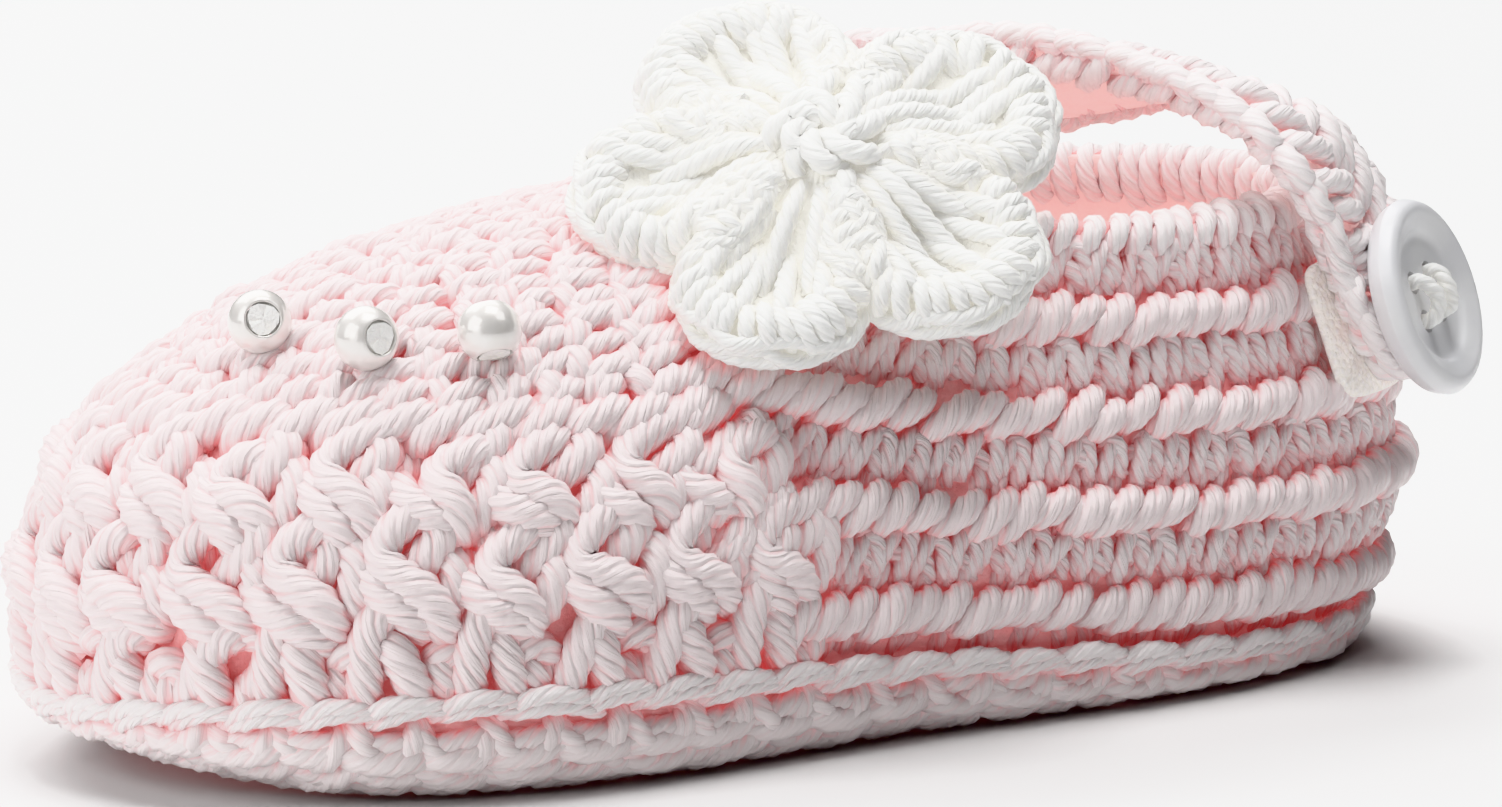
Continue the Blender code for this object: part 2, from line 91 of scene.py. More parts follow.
def fullCircle(count):
    return np.linspace(0, fullTurn, count, endpoint=False)


def unit(vectors):
    return vectors / np.linalg.norm(vectors, axis=-1, keepdims=True)


def smoothStep(low, high, value):
    f = np.clip((value - low) / (high - low), 0, 1)
    return f * f * (3 - 2 * f)


def closedSpline(knots):
    count = len(knots)
    ring = np.eye(count)
    system = 4 * ring + np.roll(ring, 1, axis=0) + np.roll(ring, -1, axis=0)
    slopes = np.linalg.solve(system, 3 * (np.roll(knots, -1, axis=0) - np.roll(knots, 1, axis=0)))

    def at(place):
        place = np.asarray(place, float) % count
        first = np.floor(place).astype(int) % count
        second = (first + 1) % count
        f = (place - np.floor(place))[..., None]
        start = (2 * f**3 - 3 * f**2 + 1) * knots[first] + (f**3 - 2 * f**2 + f) * slopes[first]
        return start + (3 * f**2 - 2 * f**3) * knots[second] + (f**3 - f**2) * slopes[second]

    return at


def openSpline(knots):
    ends = np.vstack([2 * knots[0] - knots[1], knots, 2 * knots[-1] - knots[-2]])

    def at(place):
        place = np.clip(np.asarray(place, float), 0, len(knots) - 1)
        first = np.minimum(np.floor(place).astype(int), len(knots) - 2)
        f = (place - first)[..., None]
        a, b, c, d = (ends[first + i] for i in range(4))
        curve = 2 * b + (c - a) * f + (2 * a - 5 * b + 4 * c - d) * f**2 + (3 * b - a - 3 * c + d) * f**3
        return 0.5 * curve

    return at


def stationKnots():
    half = -last["ballWidth"] / 2
    scale = [last["length"], half, 1, 1, 1, last["length"], half, last["instepHeight"], 1, 1]
    outer = np.array(list(stations.values())) * scale
    inner = outer[-2:0:-1] * [1, -1, 1, 1, 1, 1, -1, 1, 1, 1]
    inner[:, 7] += last["innerRise"] * np.sin(np.linspace(0, np.pi, len(inner) + 2))[1:-1]
    knots = np.vstack([outer, inner])
    knots[:, [0, 5]] -= last["middleX"]
    return knots


station = closedSpline(stationKnots())


def outline(place):
    step = 0.01
    along = station(place + step)[..., :2] - station(place - step)[..., :2]
    out = unit(np.stack([-along[..., 1], along[..., 0], 0 * along[..., 0]], axis=-1))
    return station(place)[..., :3], out


# mean outer face of the upper: place is in stations, height runs from the sole's edge to the collar
def wall(place, height):
    place, height = np.broadcast_arrays(np.asarray(place, float), np.asarray(height, float))
    row = station(place)
    edge, out = outline(place)
    rise, lean, reach, drop = (row[..., i : i + 1] for i in (3, 4, 8, 9))
    collar = row[..., 5:8]
    up = np.array([0.0, 0.0, 1.0])
    across = unit((edge - collar) * [1.0, 1.0, 0.0])
    f = height[..., None]
    low = (1 - f) ** 3 * edge + 3 * (1 - f) ** 2 * f * (edge + rise * up + lean * out)
    high = 3 * (1 - f) * f**2 * (collar + reach * across - drop * up) + f**3 * collar
    return low + high + [0, 0, last["gap"]]


def treadHeight(x):
    x = x + last["middleX"]
    fore, heel = last["forefootFlat"], last["heelFlat"]
    half = last["length"] / 2
    middle = (fore[1] + heel[0]) / 2
    toeLift = last["toeSpring"] * np.clip((fore[0] - x) / (half + fore[0]), 0, 1) ** 2
    archLift = last["archRise"] * smoothStep(fore[1], middle, x) * (1 - smoothStep(middle, heel[0], x))
    heelLift = last["heelSpring"] * np.clip((x - heel[1]) / (half - heel[1]), 0, 1) ** 2
    return toeLift + archLift + heelLift


# a surface with two coordinates that stitches are laid on; right says which way its first one runs
class Face:
    def __init__(self, at, right=1.0, step=(0.01, 0.01)):
        self.at, self.right, self.step = at, right, step

    def slopes(self, a, b):
        stepA, stepB = self.step
        along = (self.at(a + stepA, b) - self.at(a - stepA, b)) / (2 * stepA)
        upward = (self.at(a, b + stepB) - self.at(a, b - stepB)) / (2 * stepB)
        return along, upward

    def normal(self, a, b):
        along, upward = self.slopes(a, b)
        return unit(self.right * np.cross(along, upward))

    def point(self, a, b, lift):
        a, b, lift = np.broadcast_arrays(np.asarray(a, float), np.asarray(b, float), np.asarray(lift, float))
        return self.at(a, b) + self.normal(a, b) * lift[..., None]


upperFace = Face(wall, right=-1.0)


def capEdge(height):
    return last["capStart"] + last["capLean"] * np.clip(height, 0, 1) ** last["capSweep"]


def onCap(places, heights, margin=0.0):
    fromHeel = last["toe"] - np.abs(np.asarray(places) - last["toe"])
    return fromHeel >= capEdge(np.asarray(heights)) + margin


samples = {"row": 600, "rise": 200, "cap": 300}  # points tried along a row, up the wall and round the cap


def runAlong(points):
    steps = np.linalg.norm(np.diff(points, axis=0), axis=1)
    return np.concatenate([[0], np.cumsum(steps)])


# places along a row at even distances
def rowPlaces(face, height, start, end, spacing):
    fine = np.linspace(start, end, samples["row"])
    run = runAlong(face.at(fine, np.full(len(fine), height)))
    count = max(int(round(run[-1] / spacing)), 1)
    return np.interp((np.arange(count) + 0.5) * run[-1] / count, run, fine)


# height on the wall that is a given distance up it from the sole
def heightAt(places, distance):
    fine = np.linspace(0, 1, samples["rise"])
    found = []
    for u, d in np.broadcast(places, distance):
        found.append(np.interp(d, runAlong(wall(np.full(len(fine), u), fine)), fine))
    return np.array(found)


# how far hand-made stitches differ
uneven = {
    "girth": 0.05,  # share of a strand's own
    "size": 0.07,
    "turn": 5.0,  # degrees
    "phase": 6,  # where a strand's twist or wave may start, in radians
}


# strands laid at given coordinates of a face, one row of points each
def follow(face, a, b, lift, rng, girth=1.0):
    a, b, lift, girth = np.broadcast_arrays(a, b, lift, girth)
    each = (len(a), 1)
    return {
        "points": face.point(a, b, lift),
        "outward": face.normal(a, b),
        "lift": np.array(lift, float),
        "girth": np.array(girth, float) * (1 + rng.normal(0, uneven["girth"], each)),
        "phase": rng.uniform(0, fullTurn, each) + 0 * a,
        "tone": rng.uniform(-1, 1, each) + 0 * a,
    }


# one stitch shape, in millimetres right, up and out, laid at many places; a knot may add its girth
def lay(face, a, b, shape, rng, wide=1.0, tall=1.0, wander=uneven["size"], turn=uneven["turn"]):
    a, b = np.broadcast_arrays(np.atleast_1d(a).astype(float), np.atleast_1d(b).astype(float))
    shape = np.array([(*knot, 1.0)[:4] for knot in shape], float)
    each = (len(a), 1)
    along, upward = face.slopes(a, b)
    perA = np.linalg.norm(along, axis=-1)[:, None]
    perB = np.linalg.norm(upward, axis=-1)[:, None]
    angle = np.radians(rng.normal(0, turn, each))
    size = 1 + rng.normal(0, wander, each)
    x = shape[:, 0] * np.reshape(wide, (-1, 1)) * size
    y = shape[:, 1] * np.reshape(tall, (-1, 1)) * size
    shift = rng.normal(0, 2 * wander, (len(a), 2, 1))
    right = x * np.cos(angle) - y * np.sin(angle) + shift[:, 0]
    up = x * np.sin(angle) + y * np.cos(angle) + shift[:, 1]
    lift = shape[:, 2] + rng.normal(0, wander, each)
    a = a[:, None] + face.right * right / perA
    b = b[:, None] + up / perB
    return follow(face, a, b, lift, rng, shape[:, 3])


# strands given by their own points, one row each
def strands(points, outward, lift, phase, girth=1.0):
    blank = np.zeros(points.shape[:2])
    return {
        "points": points,
        "outward": np.broadcast_to(outward, points.shape).copy(),
        "lift": blank + lift,
        "girth": blank + girth,
        "phase": blank + phase,
        "tone": blank,
    }


# a node socket that takes Python's operators, in a shader tree or a geometry tree
class Wire:
    def __init__(self, tree, socket=None):
        self.tree, self.socket = tree, socket

    def add(self, kind, settings=None, sockets=None, output=0):
        node = self.tree.nodes.new(kind)
        for name, value in (settings or {}).items():
            setattr(node, name, value)
        for name, value in (sockets or {}).items():
            if isinstance(value, Wire):
                self.tree.links.new(value.socket, node.inputs[name])
            else:
                node.inputs[name].default_value = value
        return Wire(self.tree, node.outputs[output])

    def math(self, operation, first, second=0.0, clamp=False):
        return self.add("ShaderNodeMath", {"operation": operation, "use_clamp": clamp}, {0: first, 1: second})

    def __add__(self, other):
        return self.math("ADD", self, other)

    def __sub__(self, other):
        return self.math("SUBTRACT", self, other)

    def __rsub__(self, other):
        return self.math("SUBTRACT", other, self)

    def __mul__(self, other):
        return self.math("MULTIPLY", self, other)

    def __truediv__(self, other):
        return self.math("DIVIDE", self, other)

    __radd__ = __add__
    __rmul__ = __mul__

    def clamped(self):
        return self.math("ADD", self, 0.0, clamp=True)

    def cos(self):
        return self.math("COSINE", self)

    def size(self):
        return self.math("ABSOLUTE", self)

    def part(self, axis):
        return self.add("ShaderNodeSeparateXYZ", None, {"Vector": self}, output=axis)

    def vector(self, x, y, z):
        return self.add("ShaderNodeCombineXYZ", None, {"X": x, "Y": y, "Z": z})

    def attribute(self, name, output="Fac"):
        return self.add("ShaderNodeAttribute", {"attribute_name": name}, output=output)

    def ownPlace(self):
        return self.add("ShaderNodeTexCoord", output="Object")

    def between(self, low, high):
        sockets = {"Value": self, "From Min": low, "From Max": high}
        return self.add("ShaderNodeMapRange", {"interpolation_type": "SMOOTHSTEP"}, sockets)

    def mixed(self, first, second):
        sockets = {0: self, 6: first, 7: second}
        return self.add("ShaderNodeMix", {"data_type": "RGBA", "clamp_factor": True}, sockets, output=2)

    def noise(self, vector, scale, detail=2.0):
        return self.add("ShaderNodeTexNoise", None, {"Vector": vector, "Scale": scale, "Detail": detail})

    def bump(self, strength, depth):
        return self.add("ShaderNodeBump", None, {"Height": self, "Strength": strength, "Distance": depth})


plainYarn = {
    "plies": 4,
    "sides": 8,
    "pitch": 5.6,  # length of one full twist
    "depth": 0.16,  # of the grooves between plies, as a share of the radius
    "step": 0.42,  # length of one ring of faces
}
knotSteps = 6  # points from knot to knot, before the strand is divided evenly
floorGap = 0.2  # the lowest strands stay this far above the floor
yarnPieces = []


# the tree that spins each chain of points into a plied yarn
def makeYarnTree():
    tree = bpy.data.node_groups.new("plied yarn", "GeometryNodeTree")
    kinds = {
        "Strands": "NodeSocketGeometry",
        "Width": "NodeSocketFloat",
        "Plies": "NodeSocketInt",
        "Sides": "NodeSocketInt",
        "Twist": "NodeSocketFloat",  # radians a metre
        "Ply Depth": "NodeSocketFloat",
        "Step": "NodeSocketFloat",
        "Floor": "NodeSocketFloat",
        "Top": "NodeSocketFloat",
        "Finish": "NodeSocketMaterial",
    }
    for name, kind in kinds.items():
        tree.interface.new_socket(name, in_out="INPUT", socket_type=kind)
    tree.interface.new_socket("Yarn", in_out="OUTPUT", socket_type="NodeSocketGeometry")
    wire = Wire(tree)
    source = tree.nodes.new("NodeGroupInput")
    given = {socket.name: Wire(tree, socket) for socket in source.outputs if socket.name}

    def read(name, kind="FLOAT"):
        return wire.add("GeometryNodeInputNamedAttribute", {"data_type": kind}, {"Name": name})

    def store(geometry, name, value, kind="FLOAT"):
        settings = {"data_type": kind, "domain": "POINT"}
        sockets = {"Geometry": geometry, "Name": name, "Value": value}
        return wire.add("GeometryNodeStoreNamedAttribute", settings, sockets)

    def vectorMath(operation, first, second, output=0):
        return wire.add("ShaderNodeVectorMath", {"operation": operation}, {0: first, 1: second}, output)

    position = wire.add("GeometryNodeInputPosition")
    run = wire.add("GeometryNodeSplineParameter", output="Length")
    share = wire.add("GeometryNodeSplineParameter", output="Factor")

    line = wire.add("GeometryNodeMeshToCurve", None, {"Mesh": given["Strands"]})
    line = wire.add("GeometryNodeCurveSplineType", {"spline_type": "CATMULL_ROM"}, {"Curve": line})
    line = wire.add("GeometryNodeSetSplineResolution", None, {"Geometry": line, "Resolution": knotSteps})
    line = wire.add("GeometryNodeResampleCurve", {"mode": "LENGTH"}, {"Curve": line, "Length": given["Step"]})
    tilt = run * given["Twist"] + read("phase")
    line = wire.add("GeometryNodeSetCurveTilt", None, {"Curve": line, "Tilt": tilt})
    line = store(line, "centre", position, "FLOAT_VECTOR")
    line = store(line, "along", run)

    sockets = {"Resolution": given["Sides"], "Radius": 1.0}
    ring = wire.add("GeometryNodeCurvePrimitiveCircle", {"mode": "RADIUS"}, sockets)
    ring = store(ring, "fibre", position, "FLOAT_VECTOR")
    groove = (0.5 - 0.5 * (share * given["Plies"] * fullTurn).cos()) * given["Ply Depth"]
    lobed = wire.add("ShaderNodeVectorMath", {"operation": "SCALE"}, {0: position, "Scale": 1.0 - groove})
    ring = wire.add("GeometryNodeSetPosition", None, {"Geometry": ring, "Position": lobed})

    half = read("girth") * given["Width"] * 0.5
    sockets = {"Curve": line, "Profile Curve": ring, "Scale": half, "Fill Caps": True}
    yarn = wire.add("GeometryNodeCurveToMesh", None, sockets)
    off = vectorMath("SUBTRACT", position, read("centre", "FLOAT_VECTOR"))
    height = read("lift") + vectorMath("DOT_PRODUCT", off, read("outward", "FLOAT_VECTOR"), "Value")
    # painted shade: how high each point stands between the yarn's floor and top, so that lower yarn is
    # coloured deeper
    bright = ((height - given["Floor"]) / (given["Top"] - given["Floor"])).clamped()
    yarn = store(yarn, "bright", bright)
    yarn = store(yarn, "plies", given["Plies"])
    yarn = wire.add("GeometryNodeSetShadeSmooth", None, {"Geometry": yarn})
    yarn = wire.add("GeometryNodeRealizeInstances", None, {"Geometry": yarn})
    yarn = wire.add("GeometryNodeSetMaterial", None, {"Geometry": yarn, "Material": given["Finish"]})
    end = tree.nodes.new("NodeGroupOutput")
    tree.links.new(yarn.socket, end.inputs["Yarn"])
    return tree


yarnTree = makeYarnTree()


def attach(piece, slot, *nodes):
    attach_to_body(piece, "root")
    if nodes:
        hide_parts(*nodes)
    triangles = sum(len(face.vertices) - 2 for face in piece.data.polygons)
    print(f"{piece.name}: {triangles} triangles")
    return piece


# the strands as chains of points, with what the yarn tree reads
def chains(name, runs, width):
    points, edges, start = [], [], 0
    for laid in runs:
        count, length = laid["lift"].shape
        chain = start + np.arange(count)[:, None] * length + np.arange(length - 1)[None, :]
        edges.append(np.stack([chain, chain + 1], axis=-1).reshape(-1, 2))
        standing = laid["points"].reshape(-1, 3).copy()
        standing[:, 2] = np.maximum(standing[:, 2], laid["girth"].reshape(-1) * width / 2 + floorGap)
        points.append(standing * mm)
        start += count * length
    mesh = bpy.data.meshes.new(name)
    mesh.from_pydata(np.vstack(points), np.vstack(edges), [])
    for key, scale in {"outward": 1, "lift": mm, "girth": 1, "phase": 1, "tone": 1}.items():
        kind, field = ("FLOAT_VECTOR", "vector") if key == "outward" else ("FLOAT", "value")
        values = np.concatenate([laid[key].reshape(-1) for laid in runs]) * scale
        mesh.attributes.new(key, kind, "POINT").data.foreach_set(field, values.astype(np.float32))
    return mesh


# spins laid strands into one yarn mesh, with painted shade from its floor to its top
def spin(name, runs, slot, finish, **own):
    yarn = {**plainYarn, **own}
    lines = link(name + "Lines", chains(name + "Lines", runs, yarn["width"]))
    modifier = lines.modifiers.new("yarn", "NODES")
    modifier.node_group = yarnTree
    values = {
        "Width": yarn["width"] * mm,
        "Plies": yarn["plies"],
        "Sides": yarn["sides"],
        "Twist": -fullTurn / (yarn["pitch"] * mm),
        "Ply Depth": yarn["depth"],
        "Step": yarn["step"] * mm,
        "Floor": yarn["floor"] * mm,
        "Top": yarn["top"] * mm,
        "Finish": finish,
    }
    for socket in yarnTree.interface.items_tree:
        if socket.name in values:
            modifier[socket.identifier] = values[socket.name]
    spun = bpy.data.meshes.new_from_object(lines.evaluated_get(bpy.context.evaluated_depsgraph_get()))
    bpy.data.objects.remove(lines)
    for extra in ("centre", "outward", "lift", "girth", "phase"):
        if extra in spun.attributes:
            spun.attributes.remove(spun.attributes[extra])
    spun.name = name
    piece = link(name, spun)
    yarnPieces.append(piece)
    return attach(piece, slot)


# closed skin through rings of points, with a map that counts rounds and rows
def skin(name, rings, finish, close=False, caps=False, weave=(1.0, 1.0), paintedShade=0.0):
    rings = np.array(rings)
    rows, count = rings.shape[:2]
    mesh = bpy.data.meshes.new(name)
    index = np.arange(rows * count).reshape(rows, count)
    faces, maps = [], []
    for r in range(rows if close else rows - 1):
        s = (r + 1) % rows
        for i in range(count):
            j = (i + 1) % count
            faces.append((index[r, i], index[r, j], index[s, j], index[s, i]))
            maps += [(i, r), (i + 1, r), (i + 1, r + 1), (i, r + 1)]
    if caps:
        for r in (0, rows - 1):
            faces.append(tuple(index[r]) if r else tuple(index[r][::-1]))
            maps += [(0, r)] * count
    mesh.from_pydata(rings.reshape(-1, 3) * mm, [], faces)
    shown = np.broadcast_to(paintedShade, (rows, count)).astype(np.float32)
    mesh.attributes.new("paintedShade", "FLOAT", "POINT").data.foreach_set("value", shown.reshape(-1))
    layer = mesh.uv_layers.new(name="weave")
    scaled = np.array(maps, float) / [count, rows] * weave
    layer.data.foreach_set("uv", scaled.astype(np.float32).reshape(-1))
    shape = bmesh.new()
    shape.from_mesh(mesh)
    bmesh.ops.recalc_face_normals(shape, faces=shape.faces)
    shape.to_mesh(mesh)
    shape.free()
    mesh.shade_smooth()
    mesh.materials.append(finish)
    return link(name, mesh)


# a round-cornered outline that runs from -1 to 1 both ways
def roundedBox(count, corner):
    turns = fullCircle(count)
    return [np.sign(wave) * np.abs(wave) ** corner for wave in (np.cos(turns), np.sin(turns))]


def newFinish(name):
    material = bpy.data.materials.new(name)
    material.use_nodes = True
    shader = material.node_tree.nodes["Principled BSDF"]
    return material, shader, Wire(material.node_tree)


def setSockets(shader, values):
    for name, value in values.items():
        if isinstance(value, Wire):
            shader.id_data.links.new(value.socket, shader.inputs[name])
        else:
            shader.inputs[name].default_value = value


# pale on crests and deep in gaps, which is painted shade; a painted glow in the gaps, and the least share of
# it on the crests too, stands in for the light that comes through the thin cloth
yarnLooks = {
    "pink": {
        "pale": (0.95, 0.85, 0.855, 1), "middle": (0.96, 0.67, 0.68, 1), "deep": (0.96, 0.38, 0.39, 1),
        "through": (1.0, 0.30, 0.30, 1), "glow": 0.16, "grooves": 0.62, "least": 0.0,
    },
    # a darker copy of the pink yarn: painted shade for the recessed rows and the grooves
    "shaded": {
        "pale": (0.93, 0.84, 0.845, 1), "middle": (0.92, 0.64, 0.65, 1), "deep": (0.88, 0.36, 0.37, 1),
        "through": (1.0, 0.32, 0.32, 1), "glow": 0.06, "grooves": 0.62, "least": 0.0,
    },
    # a paler copy of the pink yarn: painted light for the collar's rim, the sole's chain and the strap
    "edge": {
        "pale": (0.96, 0.91, 0.91, 1), "middle": (0.96, 0.76, 0.77, 1), "deep": (0.96, 0.42, 0.43, 1),
        "through": (1.0, 0.32, 0.32, 1), "glow": 0.14, "grooves": 0.58, "least": 0.0,
    },
    "rubbed": {
        "pale": (0.93, 0.85, 0.85, 1), "middle": (0.94, 0.74, 0.75, 1), "deep": (0.96, 0.42, 0.43, 1),
        "through": (1.0, 0.32, 0.32, 1), "glow": 0.13, "grooves": 0.36, "least": 0.0,
    },
    # white yarn with a painted glow over its crests too, which lightens its shade
    "white": {
        "pale": (0.84, 0.84, 0.83, 1), "middle": (0.84, 0.83, 0.80, 1), "deep": (0.83, 0.81, 0.74, 1),
        "through": (1.0, 0.98, 0.93, 1), "glow": 0.24, "grooves": 0.52, "least": 0.35,
    },
}

# what all the yarns share
yarnSurface = {
    "fibres": {"run": 110, "tone": 9, "scale": 5.5, "detail": 3.0},
    "wobble": {"run": 900, "tone": 40, "turn": 3.0},  # how the plies waver along the strand
    # painted shade: a point's openness comes from its height and from how crowded the yarn in front of it is
    "openness": {"bright": 0.4, "crowd": 0.6},
    # random tone and fibres, and painted shade in the ply grooves
    "shades": {"tone": 0.06, "fine": 0.62, "band": 0.2, "thread": 0.1},
    "deepRange": (0.05, 0.5),
    "paleRange": (0.45, 1.0),
    "throughRange": (0.05, 0.9),
    "relief": {"ply": 0.8, "thread": 0.35, "fine": 1.1},
    "reliefDepth": 0.26,
    "roughness": (0.22, 0.3),  # least, and what the fibres add
    "gloss": {"Specular IOR Level": 0.6, "Sheen Weight": 0.06, "Sheen Roughness": 0.45},
}


# satin yarn with plies and fine fibres; painted shade makes it paler on its crests and deeper where it goes
# down between the stitches and in its ply grooves
def yarnFinish(name, look):
    material, shader, wire = newFinish(name)
    keys = ("bright", "crowd", "tone", "along", "plies")
    bright, crowd, tone, along, plies = (wire.attribute(key) for key in keys)
    fibre = wire.attribute("fibre", "Vector")
    right, up = fibre.part("X"), fibre.part("Y")
    fibres, wobble = yarnSurface["fibres"], yarnSurface["wobble"]
    spread = wire.vector(right, up, along * fibres["run"] + tone * fibres["tone"])
    fine = wire.noise(spread, fibres["scale"], fibres["detail"])
    waver = wire.noise(wire.vector(along * wobble["run"], tone * wobble["tone"], right), 1.0)
    angle = wire.math("ARCTAN2", up, right) * plies + (waver - 0.5) * wobble["turn"]
    ply = (angle * 0.5).cos().size()
    thread = (angle * 2 + math.pi).cos() * 0.5 + 0.5  # each ply is two finer threads
    band = angle.cos() * 0.5 + 0.5
    openness, shades, heights = yarnSurface["openness"], yarnSurface["shades"], yarnSurface["relief"]
    # painted shade: low level, where the yarn lies low, crowded or in a ply groove, is coloured deep pink
    level = bright * openness["bright"] + (1.0 - crowd) * openness["crowd"] + tone * shades["tone"]
    for pattern, shade in ((fine, "fine"), (band, "band"), (thread, "thread")):
        level = level + (pattern - 0.5) * shades[shade]
    colour = level.between(*yarnSurface["deepRange"]).mixed(look["deep"], look["middle"])
    colour = level.between(*yarnSurface["paleRange"]).mixed(colour, look["pale"])
    relief = ply * heights["ply"] + thread * heights["thread"] + fine * heights["fine"]
    least = tuple(part * look["least"] for part in look["through"])
    smooth, rough = yarnSurface["roughness"]
    setSockets(shader, {
        "Base Color": colour,
        "Roughness": smooth + fine * rough,
        "Normal": relief.bump(look["grooves"], yarnSurface["reliefDepth"] * mm),
        # painted glow, strongest in the gaps
        "Emission Color": level.between(*yarnSurface["throughRange"]).mixed(look["through"], least),
        "Emission Strength": look["glow"],
        **yarnSurface["gloss"],
    })
    return material


# colour on crests, and in gaps as painted shade; how far its rows stand out; and a painted glow for the light
# that comes through
fabricLooks = {
    "pink": {"plain": (0.96, 0.72, 0.72, 1), "deep": (0.96, 0.44, 0.44, 1), "rows": 1.0, "glow": 0.09},
    # the lining's strong painted glow stands in for light through the thin wall
    "lining": {"plain": (0.97, 0.84, 0.82, 1), "deep": (0.97, 0.70, 0.68, 1), "rows": 0.5, "glow": 0.3},
    "white": {"plain": (0.94, 0.93, 0.89, 1), "deep": (0.90, 0.87, 0.80, 1), "rows": 0.3, "glow": 0.15},
}

fabricSurface = {
    "fuzzScale": 2600,
    "fuzzDetail": 3.0,
    "cloudScale": 160,
    "lean": 1.2,  # how far the small stitches slant
    "fuzzRelief": 0.5,
    "bump": 0.6,
    "bumpDepth": 0.7,
    "shades": {"stitch": 0.3, "cloud": 0.4, "fuzz": 0.2},
    "roughness": (0.75, 0.15),
    "sheen": 0.3,
}


# the fabric between and behind the stitches, with rows of small stitches as bump
def fabricFinish(name, look):
    material, shader, wire = newFinish(name)
    chart = wire.add("ShaderNodeUVMap", {"uv_map": "weave"})
    u, v = chart.part("X"), chart.part("Y")
    fuzz = wire.noise(wire.ownPlace(), fabricSurface["fuzzScale"], fabricSurface["fuzzDetail"])
    cloud = wire.noise(wire.ownPlace(), fabricSurface["cloudScale"])
    lean = (v * fullTurn).cos() * fabricSurface["lean"]
    stitch = (u * fullTurn + lean).cos() * 0.25 + (v * fullTurn).cos() * 0.25 + 0.5
    relief = stitch * look["rows"] + fuzz * fabricSurface["fuzzRelief"]
    shades = fabricSurface["shades"]
    # painted shade: deeper where the skin is marked for painted shade and between the small stitches, with
    # random cloud and fuzz tone
    shadeAndTone = wire.attribute("paintedShade") + (0.5 - stitch) * shades["stitch"] * look["rows"]
    shadeAndTone = shadeAndTone + (cloud - 0.5) * shades["cloud"] + (fuzz - 0.5) * shades["fuzz"]
    smooth, rough = fabricSurface["roughness"]
    setSockets(shader, {
        "Base Color": shadeAndTone.clamped().mixed(look["plain"], look["deep"]),
        "Roughness": smooth + fuzz * rough,
        "Normal": relief.bump(fabricSurface["bump"], fabricSurface["bumpDepth"] * mm),
        "Sheen Weight": fabricSurface["sheen"],
        # painted glow in the deep colour
        "Emission Color": look["deep"],
        "Emission Strength": look["glow"],
    })
    return material


yarns = {name: yarnFinish(name + "Yarn", look) for name, look in yarnLooks.items()}
fabrics = {name: fabricFinish(name + "Fabric", look) for name, look in fabricLooks.items()}
print("finishes ready")


upperShell = {
    "outer": (-0.95, -1.9),  # lifts of the outer layer's faces
    "lining": (-1.95, -2.6),
    "places": 168,
    "rows": 46,
    "weave": (88, 24),  # stitches round, rows up
    "grooves": 9,
    "grooveSpan": 0.028,
    "rowPaintedShade": (0.35, 0.65),  # painted shade on the rows, and what the grooves add to it
    "capPaintedShade": 0.85,
    "liningPaintedShade": 0.8,
}


# one layer of the wall, closed at the collar and at the sole
def wallLayer(name, lifts, finish, paintedShade):
    places = np.linspace(0, last["round"], upperShell["places"], endpoint=False)
    heights = np.linspace(0, 1, upperShell["rows"])
    rings = [upperFace.point(places, height, lifts[0]) for height in heights]
    rings += [upperFace.point(places, height, lifts[1]) for height in heights[::-1]]
    for ring in (rings[0], rings[-1]):
        ring[:, 2] = station(places)[:, 2] + last["gap"]
    shown = np.ones((len(rings), len(places)))
    for row, height in enumerate(heights):
        shown[row] = paintedShade(places, height)
    return skin(name, rings, finish, close=True, weave=upperShell["weave"], paintedShade=shown)


# painted shade, deep pink, in the grooves between the rows and over the toe cap
def wallPaintedShade(places, height):
    fromGroove = abs((height * upperShell["grooves"]) % 1 - 0.5) / upperShell["grooves"]
    groove = math.exp(-((fromGroove / upperShell["grooveSpan"]) ** 2))
    least, more = upperShell["rowPaintedShade"]
    return np.where(onCap(places, height), upperShell["capPaintedShade"], least + more * groove)


# painted shade, even over the lining
def liningPaintedShade(places, height):
    return upperShell["liningPaintedShade"]


def makeUpperShell():
    shell = wallLayer("upperShell", upperShell["outer"], fabrics["pink"], wallPaintedShade)
    attach(shell, "upper_yarn", "upper")
    lining = wallLayer("upperLining", upperShell["lining"], fabrics["lining"], liningPaintedShade)
    attach(lining, "upper_yarn")


makeUpperShell()


